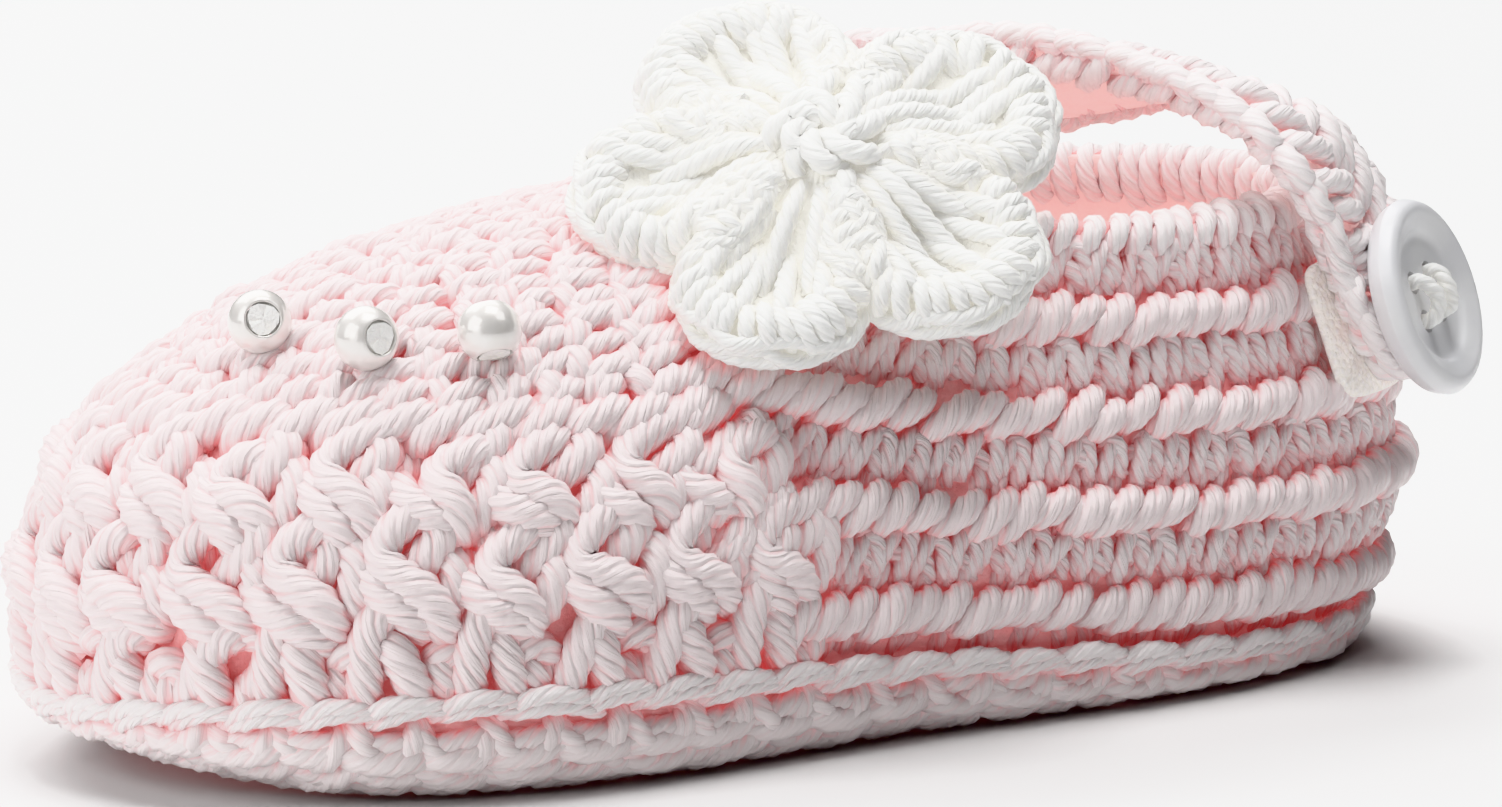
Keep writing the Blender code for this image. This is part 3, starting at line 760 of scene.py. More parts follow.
sideRows = {
    "seed": 11,
    "rows": 9,
    "pitch": 4.0,  # distance between rows that the stitches are drawn for
    "stretch": (0.95, 1.45),
    "capMargin": 0.06,  # stations left before the toe cap's edge
    # rope-like ridge: one fat strand that climbs to the right
    "ridgeSpacing": 2.55,
    "ridgeShift": -0.008,
    "ridgeUneven": {"wander": 0.09, "turn": 6.0},
    "ridgeYarn": {"width": 2.25, "floor": -1.2, "top": 0.8, "plies": 5, "sides": 10, "pitch": 6.2},
    "ridge": [
        (-1.95, -1.5, -1.4, 0.5), (-1.25, -1.0, -0.2, 0.9), (0.0, 0.0, 0.25, 1.06),
        (1.25, 1.0, -0.2, 0.9), (1.95, 1.5, -1.4, 0.5),
    ],
    # flat row: a bent leg, the arch beside it and a strand that crosses behind
    "flatSpacing": 2.7,
    "flatShift": 0.01,
    "flatTall": 1.06,
    "flatUneven": {"wander": 0.1, "turn": 9.0},
    "flatYarn": {"width": 1.55, "floor": -1.4, "top": 0.2, "pitch": 4.8},
    "flat": [
        [(-0.9, -1.9, -1.3), (-0.85, -1.1, -0.75), (-0.55, 0.0, -0.55), (0.0, 1.0, -0.65), (0.7, 1.6, -1.2)],
        [
            (-0.3, 0.9, -1.3), (0.2, 1.35, -0.7), (0.8, 0.95, -0.55), (1.0, 0.0, -0.55), (0.95, -1.0, -0.7),
            (1.1, -1.9, -1.3),
        ],
        [(-0.5, 0.7, -1.2), (-0.15, 0.1, -0.9), (0.3, -0.7, -0.85), (0.6, -1.7, -1.2)],
    ],
    # short strand down in the groove under a row, and in the one above the sole
    "bridgeSpacing": 1.9,
    "bridgeUneven": {"wander": 0.12, "turn": 14.0},
    "bridgeYarn": {"width": 1.5, "floor": -1.4, "top": 1.6, "step": 0.6},
    "bridge": [(0.5, -0.4, -1.6), (0.3, -1.2, -1.1), (-0.1, -2.0, -1.05), (-0.4, -2.8, -1.5)],
    "soleGroove": 0.085,
}


# how far stitches stretch to fill their rows
def rowStretch(places, height):
    _, upward = upperFace.slopes(places, np.full(len(places), height))
    pitch = np.linalg.norm(upward, axis=-1) / sideRows["rows"]
    return np.clip(pitch / sideRows["pitch"], *sideRows["stretch"])


def makeSideRows():
    rng = np.random.default_rng(sideRows["seed"])
    ridges, flats, bridges = [], [], []

    def layBridges(height, end):
        places = rowPlaces(upperFace, height, -end, end, sideRows["bridgeSpacing"])
        bridges.append(lay(upperFace, places, height, sideRows["bridge"], rng, **sideRows["bridgeUneven"]))

    for row in range(1, sideRows["rows"]):
        height = row / sideRows["rows"]
        end = capEdge(height) - sideRows["capMargin"]
        if row % 2:
            places = rowPlaces(upperFace, height, -end, end, sideRows["ridgeSpacing"])
            style = {"tall": rowStretch(places, height), **sideRows["ridgeUneven"]}
            low = height + sideRows["ridgeShift"]
            ridges.append(lay(upperFace, places, low, sideRows["ridge"], rng, **style))
        else:
            layBridges(height, end)
            places = rowPlaces(upperFace, height, -end, end, sideRows["flatSpacing"])
            style = {"tall": rowStretch(places, height) * sideRows["flatTall"], **sideRows["flatUneven"]}
            high = height + sideRows["flatShift"]
            for shape in sideRows["flat"]:
                flats.append(lay(upperFace, places, high, shape, rng, **style))
    layBridges(sideRows["soleGroove"], capEdge(0.0) - sideRows["capMargin"])
    spin("sideRidges", ridges, "upper_yarn", yarns["pink"], **sideRows["ridgeYarn"])
    spin("sideFlats", flats, "upper_yarn", yarns["shaded"], **sideRows["flatYarn"])
    spin("sideBridges", bridges, "upper_yarn", yarns["shaded"], **sideRows["bridgeYarn"])


makeSideRows()


collarEdge = {
    "seed": 23,
    "spacing": 1.95,
    "height": 0.985,
    "wander": 0.06,
    "yarn": {"width": 1.7, "floor": -5.5, "top": -1.5},
    # from the outer face over the rim and down the inner one
    "over": [
        (-1.3, -1.9, -0.9), (-0.9, -1.0, -0.2), (-0.3, -0.1, -0.35), (0.3, 0.5, -1.3), (0.8, 0.3, -2.3),
        (1.1, -0.7, -2.9), (1.0, -1.7, -3.0), (0.8, -2.5, -2.5),
    ],
}


def makeCollarEdge():
    rng = np.random.default_rng(collarEdge["seed"])
    places = rowPlaces(upperFace, 1.0, 0.0, last["round"], collarEdge["spacing"])
    over = lay(upperFace, places, collarEdge["height"], collarEdge["over"], rng, wander=collarEdge["wander"])
    spin("collarEdge", [over], "upper_yarn", yarns["edge"], **collarEdge["yarn"])


makeCollarEdge()


toeCap = {
    "seed": 37,
    "fatYarn": {"width": 2.75, "floor": -1.3, "top": 1.3, "plies": 6, "sides": 12, "pitch": 8.0},
    "thinYarn": {"width": 2.2, "floor": -1.4, "top": 0.8, "plies": 5, "sides": 10, "pitch": 6.4},
    "columnHeight": 0.12,  # where the columns are spaced out
    "columnSpacing": 6.7,
    "postUneven": {"wander": 0.09, "turn": 8.0},
    "postTop": 6.2,  # distances up the cap from the sole
    "cellSink": 0.6,
    "cellTall": 6.9,
    "cellRows": 2,
    "cellWide": 7.0,  # the width that the shapes below are drawn at
    "cellMargin": -0.1,  # stations in from the cap's edge
    "cellUneven": {"wander": 0.1, "turn": 8.0},
    "posts": [  # two legs that lean together, with a short strand and two small ones between the columns
        [
            (0.6, 6.3, -0.9, 0.8), (-0.2, 6.4, 0.1), (-0.9, 5.4, 0.3), (-1.3, 3.8, 0.25), (-1.5, 2.0, 0.15),
            (-1.7, 0.4, -0.1), (-1.8, -0.5, -0.9, 0.8),
        ],
        [(-0.4, 5.0, -0.9, 0.8), (0.4, 4.2, 0.1), (1.1, 2.8, 0.2), (1.7, 1.2, 0.05), (2.0, -0.5, -0.9, 0.8)],
        [(2.0, 3.4, -1.2, 0.8), (2.7, 4.2, -0.4), (3.7, 4.3, -0.5), (4.7, 3.6, -0.6), (5.2, 2.7, -1.2, 0.8)],
        [(2.6, 2.7, -1.0, 0.8), (3.0, 1.6, -0.3, 0.9), (3.3, 0.6, -0.3, 0.9), (3.5, -0.5, -1.0, 0.8)],
        [(4.7, 2.4, -1.0, 0.8), (4.4, 1.4, -0.4, 0.9), (4.1, 0.5, -0.4, 0.9), (3.9, -0.5, -1.0, 0.8)],
    ],
    "cell": [
        [  # knot's left lobe, then down and across as the upper wrap
            (0.6, 7.4, -1.3, 0.8), (-0.4, 7.1, 0.1), (-1.5, 6.2, 0.4), (-2.2, 4.9, 0.4), (-2.1, 3.7, 0.5),
            (-1.0, 2.8, 0.7, 1.1), (0.6, 2.1, 0.8, 1.15), (2.0, 1.2, 0.6, 1.1), (2.9, 0.1, -0.1),
            (3.3, -0.8, -1.4, 0.8),
        ],
        [  # lower wrap
            (-3.4, 4.0, -1.3, 0.8), (-3.0, 2.9, -0.2), (-2.0, 1.7, 0.5), (-0.5, 0.8, 0.6, 1.1),
            (1.0, -0.1, 0.3), (2.0, -1.2, -0.9, 0.8),
        ],
        [  # knot's right lobe, which goes down behind the wrap
            (0.6, 7.0, -1.1, 0.8), (1.5, 6.9, -0.05), (1.8, 5.9, 0.1), (1.3, 4.7, -0.1),
            (0.5, 3.5, -0.6, 0.9), (0.0, 2.6, -1.2, 0.8),
        ],
        [  # right leg
            (1.4, 5.4, -1.2, 0.8), (2.3, 4.8, -0.2), (3.0, 3.6, 0.05), (3.2, 2.2, -0.1), (3.3, 1.0, -0.6),
            (3.3, 0.0, -1.4, 0.8),
        ],
        # between two columns
        [(3.5, 7.4, -1.6), (3.5, 6.2, -1.4), (3.5, 5.0, -1.4), (3.5, 4.0, -1.8)],
        # fills the knot
        [(-0.3, 6.7, -1.2, 0.8), (-0.5, 5.6, -0.8), (-0.5, 4.6, -0.8), (-0.2, 3.4, -1.2, 0.8)],
    ],
    "leafRise": 1.4,  # above the top row of cells
    "leafHeight": 0.4,
    "leafSpacing": 3.1,
    "leafMargin": -0.02,
    "edgeLeaves": (0.1, 0.86, 13),  # first and last height, count
    "leaf": [
        (-1.6, -2.3, -1.6, 0.7), (-1.0, -1.2, -0.2), (0.0, 0.1, 0.15), (0.9, 1.4, -0.1),
        (1.5, 2.4, -1.4, 0.7),
    ],
    "vee": [
        [(-1.6, 1.7, -1.3), (-1.15, 1.1, -0.1), (-0.65, 0.1, 0.15), (-0.25, -0.9, -0.1), (-0.05, -1.7, -1.3)],
        [(1.6, 1.7, -1.3), (1.2, 1.1, 0.0), (0.8, 0.1, 0.25), (0.4, -0.9, 0.0), (0.15, -1.7, -1.3)],
    ],
    "veeRise": 2.9,  # above the leaves
    "veeTop": 0.985,
    "veeRows": 14,
    "veeMargin": 0.05,
    "veeLeast": 3,
    "veeSpacing": 3.3,
    "veeTall": 3.1,
    "veeUneven": {"wander": 0.12, "turn": 13.0},
}


def makeToeCap():
    rng = np.random.default_rng(toeCap["seed"])
    span = (last["capStart"], last["round"] - last["capStart"])
    columns = rowPlaces(upperFace, toeCap["columnHeight"], *span, toeCap["columnSpacing"])
    fat, thin = [], []

    def columnWide(heights):
        along, _ = upperFace.slopes(columns, heights)
        pitch = np.gradient(columns) * np.linalg.norm(along, axis=-1)
        return pitch / toeCap["cellWide"]

    low = heightAt(columns, 0.0)
    for shape in toeCap["posts"]:
        fat.append(lay(upperFace, columns, low, shape, rng, wide=columnWide(low), **toeCap["postUneven"]))
    for row in range(toeCap["cellRows"]):
        base = toeCap["postTop"] - toeCap["cellSink"] + row * toeCap["cellTall"]
        heights = heightAt(columns, base)
        keep = onCap(columns, heightAt(columns, base + toeCap["cellTall"] / 2), toeCap["cellMargin"])
        style = {"wide": columnWide(heights)[keep], **toeCap["cellUneven"]}
        for shape in toeCap["cell"]:
            fat.append(lay(upperFace, columns[keep], heights[keep], shape, rng, **style))
    top = toeCap["postTop"] + toeCap["cellRows"] * toeCap["cellTall"] + toeCap["leafRise"]
    along = rowPlaces(upperFace, toeCap["leafHeight"], *span, toeCap["leafSpacing"])
    heights = heightAt(along, top)
    keep = onCap(along, heights, toeCap["leafMargin"])
    fat.append(lay(upperFace, along[keep], heights[keep], toeCap["leaf"], rng))
    # leaves down both edges of the cap
    rise = np.linspace(*toeCap["edgeLeaves"])
    for side in (1, -1):
        edge = last["toe"] + side * (last["toe"] - capEdge(rise))
        fat.append(lay(upperFace, edge, rise, toeCap["leaf"], rng))
    fine = np.linspace(*span, samples["cap"])
    for row in range(toeCap["veeRows"]):
        distance = top + toeCap["veeRise"] + row * toeCap["veeTall"]
        if heightAt(np.array([last["toe"]]), distance)[0] > toeCap["veeTop"]:
            break
        arc = heightAt(fine, distance)
        inside = fine[onCap(fine, arc, toeCap["veeMargin"])]
        if len(inside) < toeCap["veeLeast"]:
            continue
        middle = float(np.interp(last["toe"], fine, arc))
        places = rowPlaces(upperFace, middle, inside[0], inside[-1], toeCap["veeSpacing"])
        heights = heightAt(places, distance)
        for shape in toeCap["vee"]:
            thin.append(lay(upperFace, places, heights, shape, rng, **toeCap["veeUneven"]))
    spin("toeStitches", fat, "upper_yarn", yarns["pink"], **toeCap["fatYarn"])
    spin("vampStitches", thin, "upper_yarn", yarns["pink"], **toeCap["thinYarn"])


makeToeCap()


soleParts = {
    "seed": 41,
    "places": 144,
    "rings": [  # inset from the outline, level between tread and edge, lift
        (19.0, None, 4.0), (9.0, None, 4.0), (3.2, 1.0, -0.4), (0.9, 1.0, -0.2), (0.6, 0.8, 0.0),
        (0.7, 0.6, 0.0), (0.8, 0.42, 0.0), (2.2, 0.2, 0.1), (4.2, 0.05, 0.3), (6.0, 0.0, 0.5),
        (10.0, 0.0, 0.6), (19.0, 0.0, 0.6),
    ],
    "evenInset": 2.0,  # up to here a ring keeps one distance from the outline
    "weave": (88, 14),
    # painted shade over the sole's fabric
    "paintedShade": 0.45,
    "sideInset": 5.2,
    "sideBend": 0.5,  # level under which the side goes in
    "sideMost": 1.2,
    "chainOut": 0.45,
    "chainHeight": 0.1,
    "chainSpacing": 4.9,
    "chainUneven": {"wander": 0.04, "turn": 3.0},
    "chainYarn": {"width": 1.4, "floor": -0.9, "top": 1.1},
    "chain": [
        [
            (-3.6, -0.55, -0.5), (-2.2, -0.1, 0.35), (-0.7, 0.45, 0.75), (1.0, 0.4, 0.65), (2.6, 0.0, 0.2),
            (3.6, -0.3, -0.5),
        ],
        [
            (-3.3, -0.95, -0.7), (-1.8, -0.65, 0.2), (-0.2, -0.2, 0.55), (1.4, -0.1, 0.4), (2.8, -0.3, 0.1),
            (3.7, -0.55, -0.6),
        ],
    ],
    "sideYarn": {"width": 1.95, "floor": -1.5, "top": 0.5, "step": 0.5},
    "legSpacing": 4.9,
    "legSpaced": 0.6,  # level that the spacing is measured at
    "legLevel": 0.58,
    "legTall": 4.4,  # height of the side that the legs are drawn for
    "legStretch": (0.5, 1.3),
    "legs": [
        [(-2.6, 1.5, -0.9), (-2.3, 0.8, -0.1), (-1.7, 0.0, 0.1), (-0.9, -0.6, -0.1), (0.0, -1.0, -0.8)],
        [(2.3, 1.4, -0.9), (2.0, 0.7, -0.1), (1.5, 0.0, 0.1), (0.7, -0.6, -0.2), (-0.2, -0.9, -0.9)],
        [(-3.0, 0.3, -1.0), (-1.6, 0.2, -0.3), (0.0, 0.25, -0.2), (1.6, 0.35, -0.3), (2.9, 0.4, -1.0)],
        [(-3.2, -0.3, -0.8), (-2.0, -0.55, 0.0), (-0.2, -0.65, 0.15), (1.6, -0.5, 0.0), (2.9, -0.2, -0.8)],
        [(-2.9, -1.5, -0.8), (-1.6, -1.7, 0.0), (0.2, -1.65, 0.15), (1.9, -1.45, 0.0), (3.1, -1.2, -0.8)],
    ],
    "hem": [(-2.6, 0.6, -1.0), (-1.6, -0.1, -0.2), (0.0, -0.4, 0.0), (1.6, -0.1, -0.2), (2.6, 0.6, -1.0)],
    "hemRows": ((0.28, 4.4), (0.16, 4.1), (0.05, 3.9)),  # level, spacing
    # rounds of stitches on the inside: distance from the outline, then each stitch's two legs
    "insoleInsets": (4.6, 8.2, 11.8, 15.4, 19.0, 22.6),
    "insoleLevel": 4.3,
    "insoleSpacing": 3.6,
    "insoleYarn": {"width": 2.4, "floor": -1.2, "top": 0.3, "step": 0.7},
    "insole": [
        [(-0.1, -2.0, -0.9), (-0.95, -0.9, -0.1), (-1.0, 0.6, 0.0), (-0.3, 1.8, -0.8)],
        [(0.3, -2.0, -0.9), (0.95, -0.8, -0.1), (0.9, 0.7, 0.0), (0.2, 1.9, -0.8)],
    ],
}


def soleSide(place, level):
    edge, out = outline(place)
    below = np.clip(1 - level / soleParts["sideBend"], 0, soleParts["sideMost"])
    inset = soleParts["sideInset"] * below**2
    ring = edge - inset[..., None] * out
    tread = treadHeight(ring[..., 0])
    height = tread + level * (edge[..., 2] - tread)
    return np.concatenate([ring[..., :2], height[..., None]], axis=-1)


def soleEdge(place, height):
    edge, out = outline(place)
    return edge + soleParts["chainOut"] * out + np.stack([0 * height, 0 * height, height], axis=-1)


# the outline drawn in towards the middle of the last
def drawnIn(edge, inset):
    middle = np.array([-last["middleX"], 0, 0])
    half = np.array([last["length"] / 2, last["ballWidth"] / 2, np.inf])
    return (edge - middle) * (1 - inset / half) + middle


# the sole's inside, in from the outline
def insole(place, inset):
    place, inset = np.broadcast_arrays(np.asarray(place, float), np.asarray(inset, float))
    edge, _ = outline(place)
    ring = drawnIn(edge, inset[..., None])
    ring[..., 2] = treadHeight(ring[..., 0]) + soleParts["insoleLevel"]
    return ring


soleSideFace = Face(soleSide, right=-1.0)
insoleFace = Face(insole, right=-1.0)
soleEdgeFace = Face(soleEdge, right=-1.0)


def soleBody():
    places = np.linspace(0, last["round"], soleParts["places"], endpoint=False)
    edge, out = outline(places)
    rings = []
    for inset, level, lift in soleParts["rings"]:
        ring = drawnIn(edge, inset) if inset > soleParts["evenInset"] else edge - inset * out
        tread = treadHeight(ring[:, 0])
        ring[:, 2] = tread + lift if level is None else tread + level * (edge[:, 2] - tread) + lift
        rings.append(ring)
    look = {"weave": soleParts["weave"], "paintedShade": soleParts["paintedShade"]}
    return skin("soleBody", rings, fabrics["pink"], caps=True, **look)


def makeSole():
    rng = np.random.default_rng(soleParts["seed"])
    attach(soleBody(), "sole_yarn", "sole")
    chain, sides, inside = [], [], []
    along = rowPlaces(soleEdgeFace, 0.0, 0.0, last["round"], soleParts["chainSpacing"])
    style = soleParts["chainUneven"]
    for shape in soleParts["chain"]:
        chain.append(lay(soleEdgeFace, along, soleParts["chainHeight"], shape, rng, **style))
    spin("soleChain", chain, "sole_yarn", yarns["edge"], **soleParts["chainYarn"])
    along = rowPlaces(soleSideFace, soleParts["legSpaced"], 0.0, last["round"], soleParts["legSpacing"])
    tall = station(along)[:, 2] - treadHeight(station(along)[:, 0])
    tall = np.clip(tall / soleParts["legTall"], *soleParts["legStretch"])
    for shape in soleParts["legs"]:
        sides.append(lay(soleSideFace, along, soleParts["legLevel"], shape, rng, tall=tall))
    for level, spacing in soleParts["hemRows"]:
        along = rowPlaces(soleSideFace, level, 0.0, last["round"], spacing)
        sides.append(lay(soleSideFace, along, level, soleParts["hem"], rng))
    spin("soleStitches", sides, "sole_yarn", yarns["rubbed"], **soleParts["sideYarn"])
    for inset in soleParts["insoleInsets"]:
        along = rowPlaces(insoleFace, inset, 0.0, last["round"], soleParts["insoleSpacing"])
        for shape in soleParts["insole"]:
            inside.append(lay(insoleFace, along, inset, shape, rng))
    spin("insoleStitches", inside, "sole_yarn", yarns["rubbed"], **soleParts["insoleYarn"])


makeSole()


strapParts = {
    "seed": 53,
    "thickness": 2.6,
    "patch": 0.9,
    "relief": 0.55,
    "rootStation": 8.8,
    "rootFacing": 0.9,  # height on the wall that the root faces the same way as
    "rootHalf": 3.0,
    "tabStation": 0.92,
    "tabHeights": (0.87, 0.70),
    "tabHalf": 5.4,
    "tabRunOn": 0.85,  # how far the tab runs on past its last row, as a share of the rows' distance
    "tabEnd": 2.6,
    # middle line, the way that the outer face looks, half width
    "route": [
        (21.0, 9.5, 42.2, 0.0, 0.90, 0.4, 3.8),
        (30.0, 1.5, 42.6, 0.05, 0.85, 0.5, 4.4),
        (37.0, -8.0, 42.4, 0.25, 0.1, 0.95, 4.8),
        (41.8, -14.6, 38.8, 0.5, -0.55, 0.65, 5.2),
    ],
    "slopeStep": 0.02,
    "faceRound": 4,  # power that rounds the faces off to the edges
    "faceLeast": 0.02,
    "bandSteps": (90, 28),  # rings along, points round each
    "bandCorner": 0.6,
    "bandInset": (0.5, 0.75),  # from the edges, from the faces
    "weave": (14, 30),
    # painted shade over the band
    "paintedShade": 0.85,
    "yarn": {"width": 2.0, "floor": -1.6, "top": 0.5},
    "ends": 0.1,
    "spacing": 2.5,
    "drawnHalf": 5.2,  # half width that the legs are drawn for
    "legLine": 0.5,  # lines across the faces, as shares of the half width
    "backLine": 0.62,
    "backTall": 0.7,
    "edgeLine": 0.97,
    "upLeg": [(-1.7, -2.6, -1.3), (-1.1, -1.6, -0.3), (-0.1, -0.2, 0.0), (0.9, 1.2, -0.2), (1.5, 2.2, -1.2)],
    "downLeg": [(-1.7, 2.6, -1.3), (-1.1, 1.6, -0.3), (-0.1, 0.2, 0.0), (0.9, -1.2, -0.2), (1.5, -2.2, -1.2)],
    "edge": [(-1.7, -0.3, -0.8), (-0.9, 0.1, 0.0), (0.0, 0.2, 0.15), (0.9, 0.0, 0.0), (1.7, -0.3, -0.8)],
    # stitches over the root's end: millimetres along, out of the face, and lift
    "rootWrap": [
        (2.0, 0.7, -1.2), (1.0, 1.25, -0.3), (0.0, 1.15, 0.0), (-0.6, 0.6, 0.1), (-0.8, 0.0, 0.1),
        (-0.6, -0.6, 0.1), (0.0, -1.15, 0.0), (1.0, -1.25, -0.3), (2.0, -0.7, -1.2),
    ],
    "rootWraps": (-0.86, -0.43, 0.0, 0.43, 0.86),
}


def strapRows():
    root = wall(strapParts["rootStation"], 1.0) - [0, 0, last["gap"]]
    root = root + [0, 0, 2 * last["gap"] + last["rimCrown"] + strapParts["rootHalf"]]
    rootAt = np.array([strapParts["rootStation"], strapParts["rootFacing"]])
    rootFace = upperFace.normal(*rootAt) * [1, 1, 0]
    rows = [[*root, *rootFace, strapParts["rootHalf"]]]
    rows += [[row[0] - last["middleX"], *row[1:]] for row in strapParts["route"]]
    stand = strapParts["relief"] + 2 * last["gap"] + strapParts["patch"] + strapParts["thickness"] / 2
    for height in strapParts["tabHeights"]:
        u, v = np.array(strapParts["tabStation"]), np.array(height)
        centre = upperFace.point(u, v, stand) - [0, 0, last["gap"]]
        rows.append([*centre, *upperFace.normal(u, v), strapParts["tabHalf"]])
    # the tab runs on past its last row to a round end
    before, after = np.array(rows[-2][:3]), np.array(rows[-1][:3])
    runOn = strapParts["tabRunOn"]
    rows.append([*(after * (1 + runOn) - before * runOn), *rows[-1][3:6], strapParts["tabEnd"]])
    return np.array(rows)


strapLine = openSpline(strapRows())
strapLength = len(strapRows()) - 1.0


def strapFrame(s):
    values = strapLine(s)
    step = strapParts["slopeStep"]
    along = unit(strapLine(s + step)[..., :3] - strapLine(s - step)[..., :3])
    face = values[..., 3:6]
    face = unit(face - along * np.sum(face * along, axis=-1, keepdims=True))
    return values[..., :3], along, face, np.cross(along, face), values[..., 6]


# one face of the strap; the second coordinate runs across it from -1 to 1
def strapSide(sign):
    def at(s, t):
        s, t = np.broadcast_arrays(np.asarray(s, float), np.asarray(t, float))
        middle, _, face, side, half = strapFrame(s)
        fall = np.clip(1 - np.abs(t) ** strapParts["faceRound"], strapParts["faceLeast"], 1)
        bulge = sign * strapParts["thickness"] / 2 * np.sqrt(fall)
        return middle + side * (half * t)[..., None] + face * bulge[..., None]

    return at


strapOuter = Face(strapSide(1), right=-1.0)
strapInner = Face(strapSide(-1), right=1.0)


def strapBand():
    rings = []
    length, count = strapParts["bandSteps"]
    fromEdge, fromFace = strapParts["bandInset"]
    across, deep = roundedBox(count, strapParts["bandCorner"])
    deep = deep * (strapParts["thickness"] / 2 - fromFace)
    for s in np.linspace(0, strapLength, length):
        middle, _, face, side, half = strapFrame(np.array(s))
        rings.append(middle + np.outer(across * (half - fromEdge), side) + np.outer(deep, face))
    look = {"weave": strapParts["weave"], "paintedShade": strapParts["paintedShade"]}
    return skin("strapBand", rings, fabrics["lining"], caps=True, **look)


# strands sewn over the strap's root, side by side
def rootWraps(rng):
    middle, way, face, side, half = strapFrame(np.array(0.0))
    wrap = np.array(strapParts["rootWrap"])
    over = wrap[:, :1] * way + wrap[:, 1:2] * face
    points = middle + over + np.array(strapParts["rootWraps"])[:, None, None] * half * side
    phase = rng.uniform(0, uneven["phase"], (len(points), 1))
    return strands(points, unit(over - way), wrap[:, 2], phase)


def makeStrap():
    rng = np.random.default_rng(strapParts["seed"])
    attach(strapBand(), "strap_yarn", "strap")
    ends = (strapParts["ends"], strapLength - strapParts["ends"])
    along = rowPlaces(strapOuter, 0.0, *ends, strapParts["spacing"])
    tall = strapFrame(along)[4] / strapParts["drawnHalf"]
    line, back = strapParts["legLine"], strapParts["backLine"]
    runs = [
        lay(strapOuter, along, line, strapParts["upLeg"], rng, tall=tall),
        lay(strapOuter, along, -line, strapParts["downLeg"], rng, tall=tall),
        lay(strapInner, along, back, strapParts["upLeg"], rng, tall=tall * strapParts["backTall"]),
    ]
    for side in (1, -1):
        runs.append(lay(strapOuter, along, side * strapParts["edgeLine"], strapParts["edge"], rng, tall=side))
    runs.append(rootWraps(rng))
    spin("strapStitches", runs, "strap_yarn", yarns["edge"], **strapParts["yarn"])


makeStrap()


flowerParts = {
    "seed": 67,
    "diameter": 35.5,
    "thickness": 3.4,
    "edgeRound": 6,  # power that rounds the petals' edges off
    "centre": (4.3, -13.3, 39.7),
    "face": (-0.24, -0.57, 0.79),
    "petals": (28.0, 122.0, 186.0, 248.0, 315.0),  # degrees round
    "reach": (0.58, 0.42, 0.55),  # radius between petals, what a petal adds and the power of its bulge
    # heights, with where they are and how far they spread, as shares of the way out to the edge
    "boss": 1.4,
    "bossSpan": 0.2,
    "dish": 1.8,
    "dishMiddle": 0.6,
    "dishSpan": 0.2,
    "curl": 1.8,
    "curlStart": 0.6,
    "droop": 3.4,
    "under": (0.06, 0.35, 0.65, 0.9),  # rings of the body
    "over": (0.96, 0.9, 0.8, 0.65, 0.5, 0.35, 0.2, 0.05),
    "overSink": 0.7,
    "bodySteps": 180,
    "weave": (60, 8),
    "petalMiddle": 0.57,  # shares of the flower's radius
    "petalRadius": 0.43,
    "petalBase": 0.2,
    "baseNarrow": 0.25,  # width at the base as a share of that at the rim
    "furthest": 0.998,
    "rimYarn": {"width": 1.25, "floor": -1.9, "top": 0.4, "pitch": 4.2},
    # share of the petal's radius, lift
    "rimLines": ((0.985, -1.3), (1.0, -0.75), (1.0, -0.2), (0.965, 0.2), (0.91, 0.4)),
    "rimTurn": 2.4,  # how far the rim runs to each side of the petal's tip, in radians
    "rimKnots": 30,
    "rimSway": {"size": 0.018, "waves": 7, "uneven": 0.006, "lift": 8},
    # short strands over the rim
    "wraps": 27,
    "wrapTurn": 2.6,
    "wrapShares": (0.95, 0.88, 0.78, 0.66, 0.54),
    "wrapLifts": (-0.3, 0.35, 0.35, -0.1, -0.8),
    "wrapGirth": (0.8, 1.1, 1.15, 1.1, 0.8),
    "wrapUneven": {"turn": 0.04, "share": 0.02, "lift": 0.09},
    "wrapLean": (0.45, 0.12),  # mean and spread
    "wrapMiddle": 0.76,
    # strands from the petal's base to its rim
    "postYarn": {"width": 1.6, "floor": -1.9, "top": 0.4, "pitch": 5.0},
    "posts": ((9, 0.05, 0.62, -0.7), (11, 0.4, 0.86, -0.85)),  # count, start and end from base to rim, lift
    "postTurn": 2.1,
    "postArch": (0.85, 0.5),  # height and power
    "postGirth": (0.8, 1, 1.05, 1.05, 1, 0.8),
    "postUneven": {"turn": 0.1, "share": 0.03, "lift": 0.12},
    "postLean": (0.2, 0.25),
    # strands round the middle
    "knots": 7,
    "knotSteps": 8,
    "knotStart": 0.3,
    "knotTurn": 1.1,
    "knotShares": (0.07, 0.17),
    "knotArch": (-0.7, 1.2, 0.6),  # lift of the ends, height and power
    "knotGirth": 1.1,
}


def petalShare(turn):
    middles = np.radians([*flowerParts["petals"], flowerParts["petals"][0] + 360])
    turn = (turn - middles[0]) % fullTurn + middles[0]
    return np.abs(np.cos(np.pi * np.interp(turn, middles, range(len(middles)))))


# how far the flower reaches that way, as a share of its radius
def petalReach(petal):
    least, more, power = flowerParts["reach"]
    return least + more * petal**power


flowerTurn = np.array(Vector(flowerParts["face"]).normalized().to_track_quat("Z", "Y").to_matrix())
flowerMiddle = np.array(flowerParts["centre"]) - [last["middleX"], 0, 0]


def bell(share, span):
    return np.exp(-((share / span) ** 2))


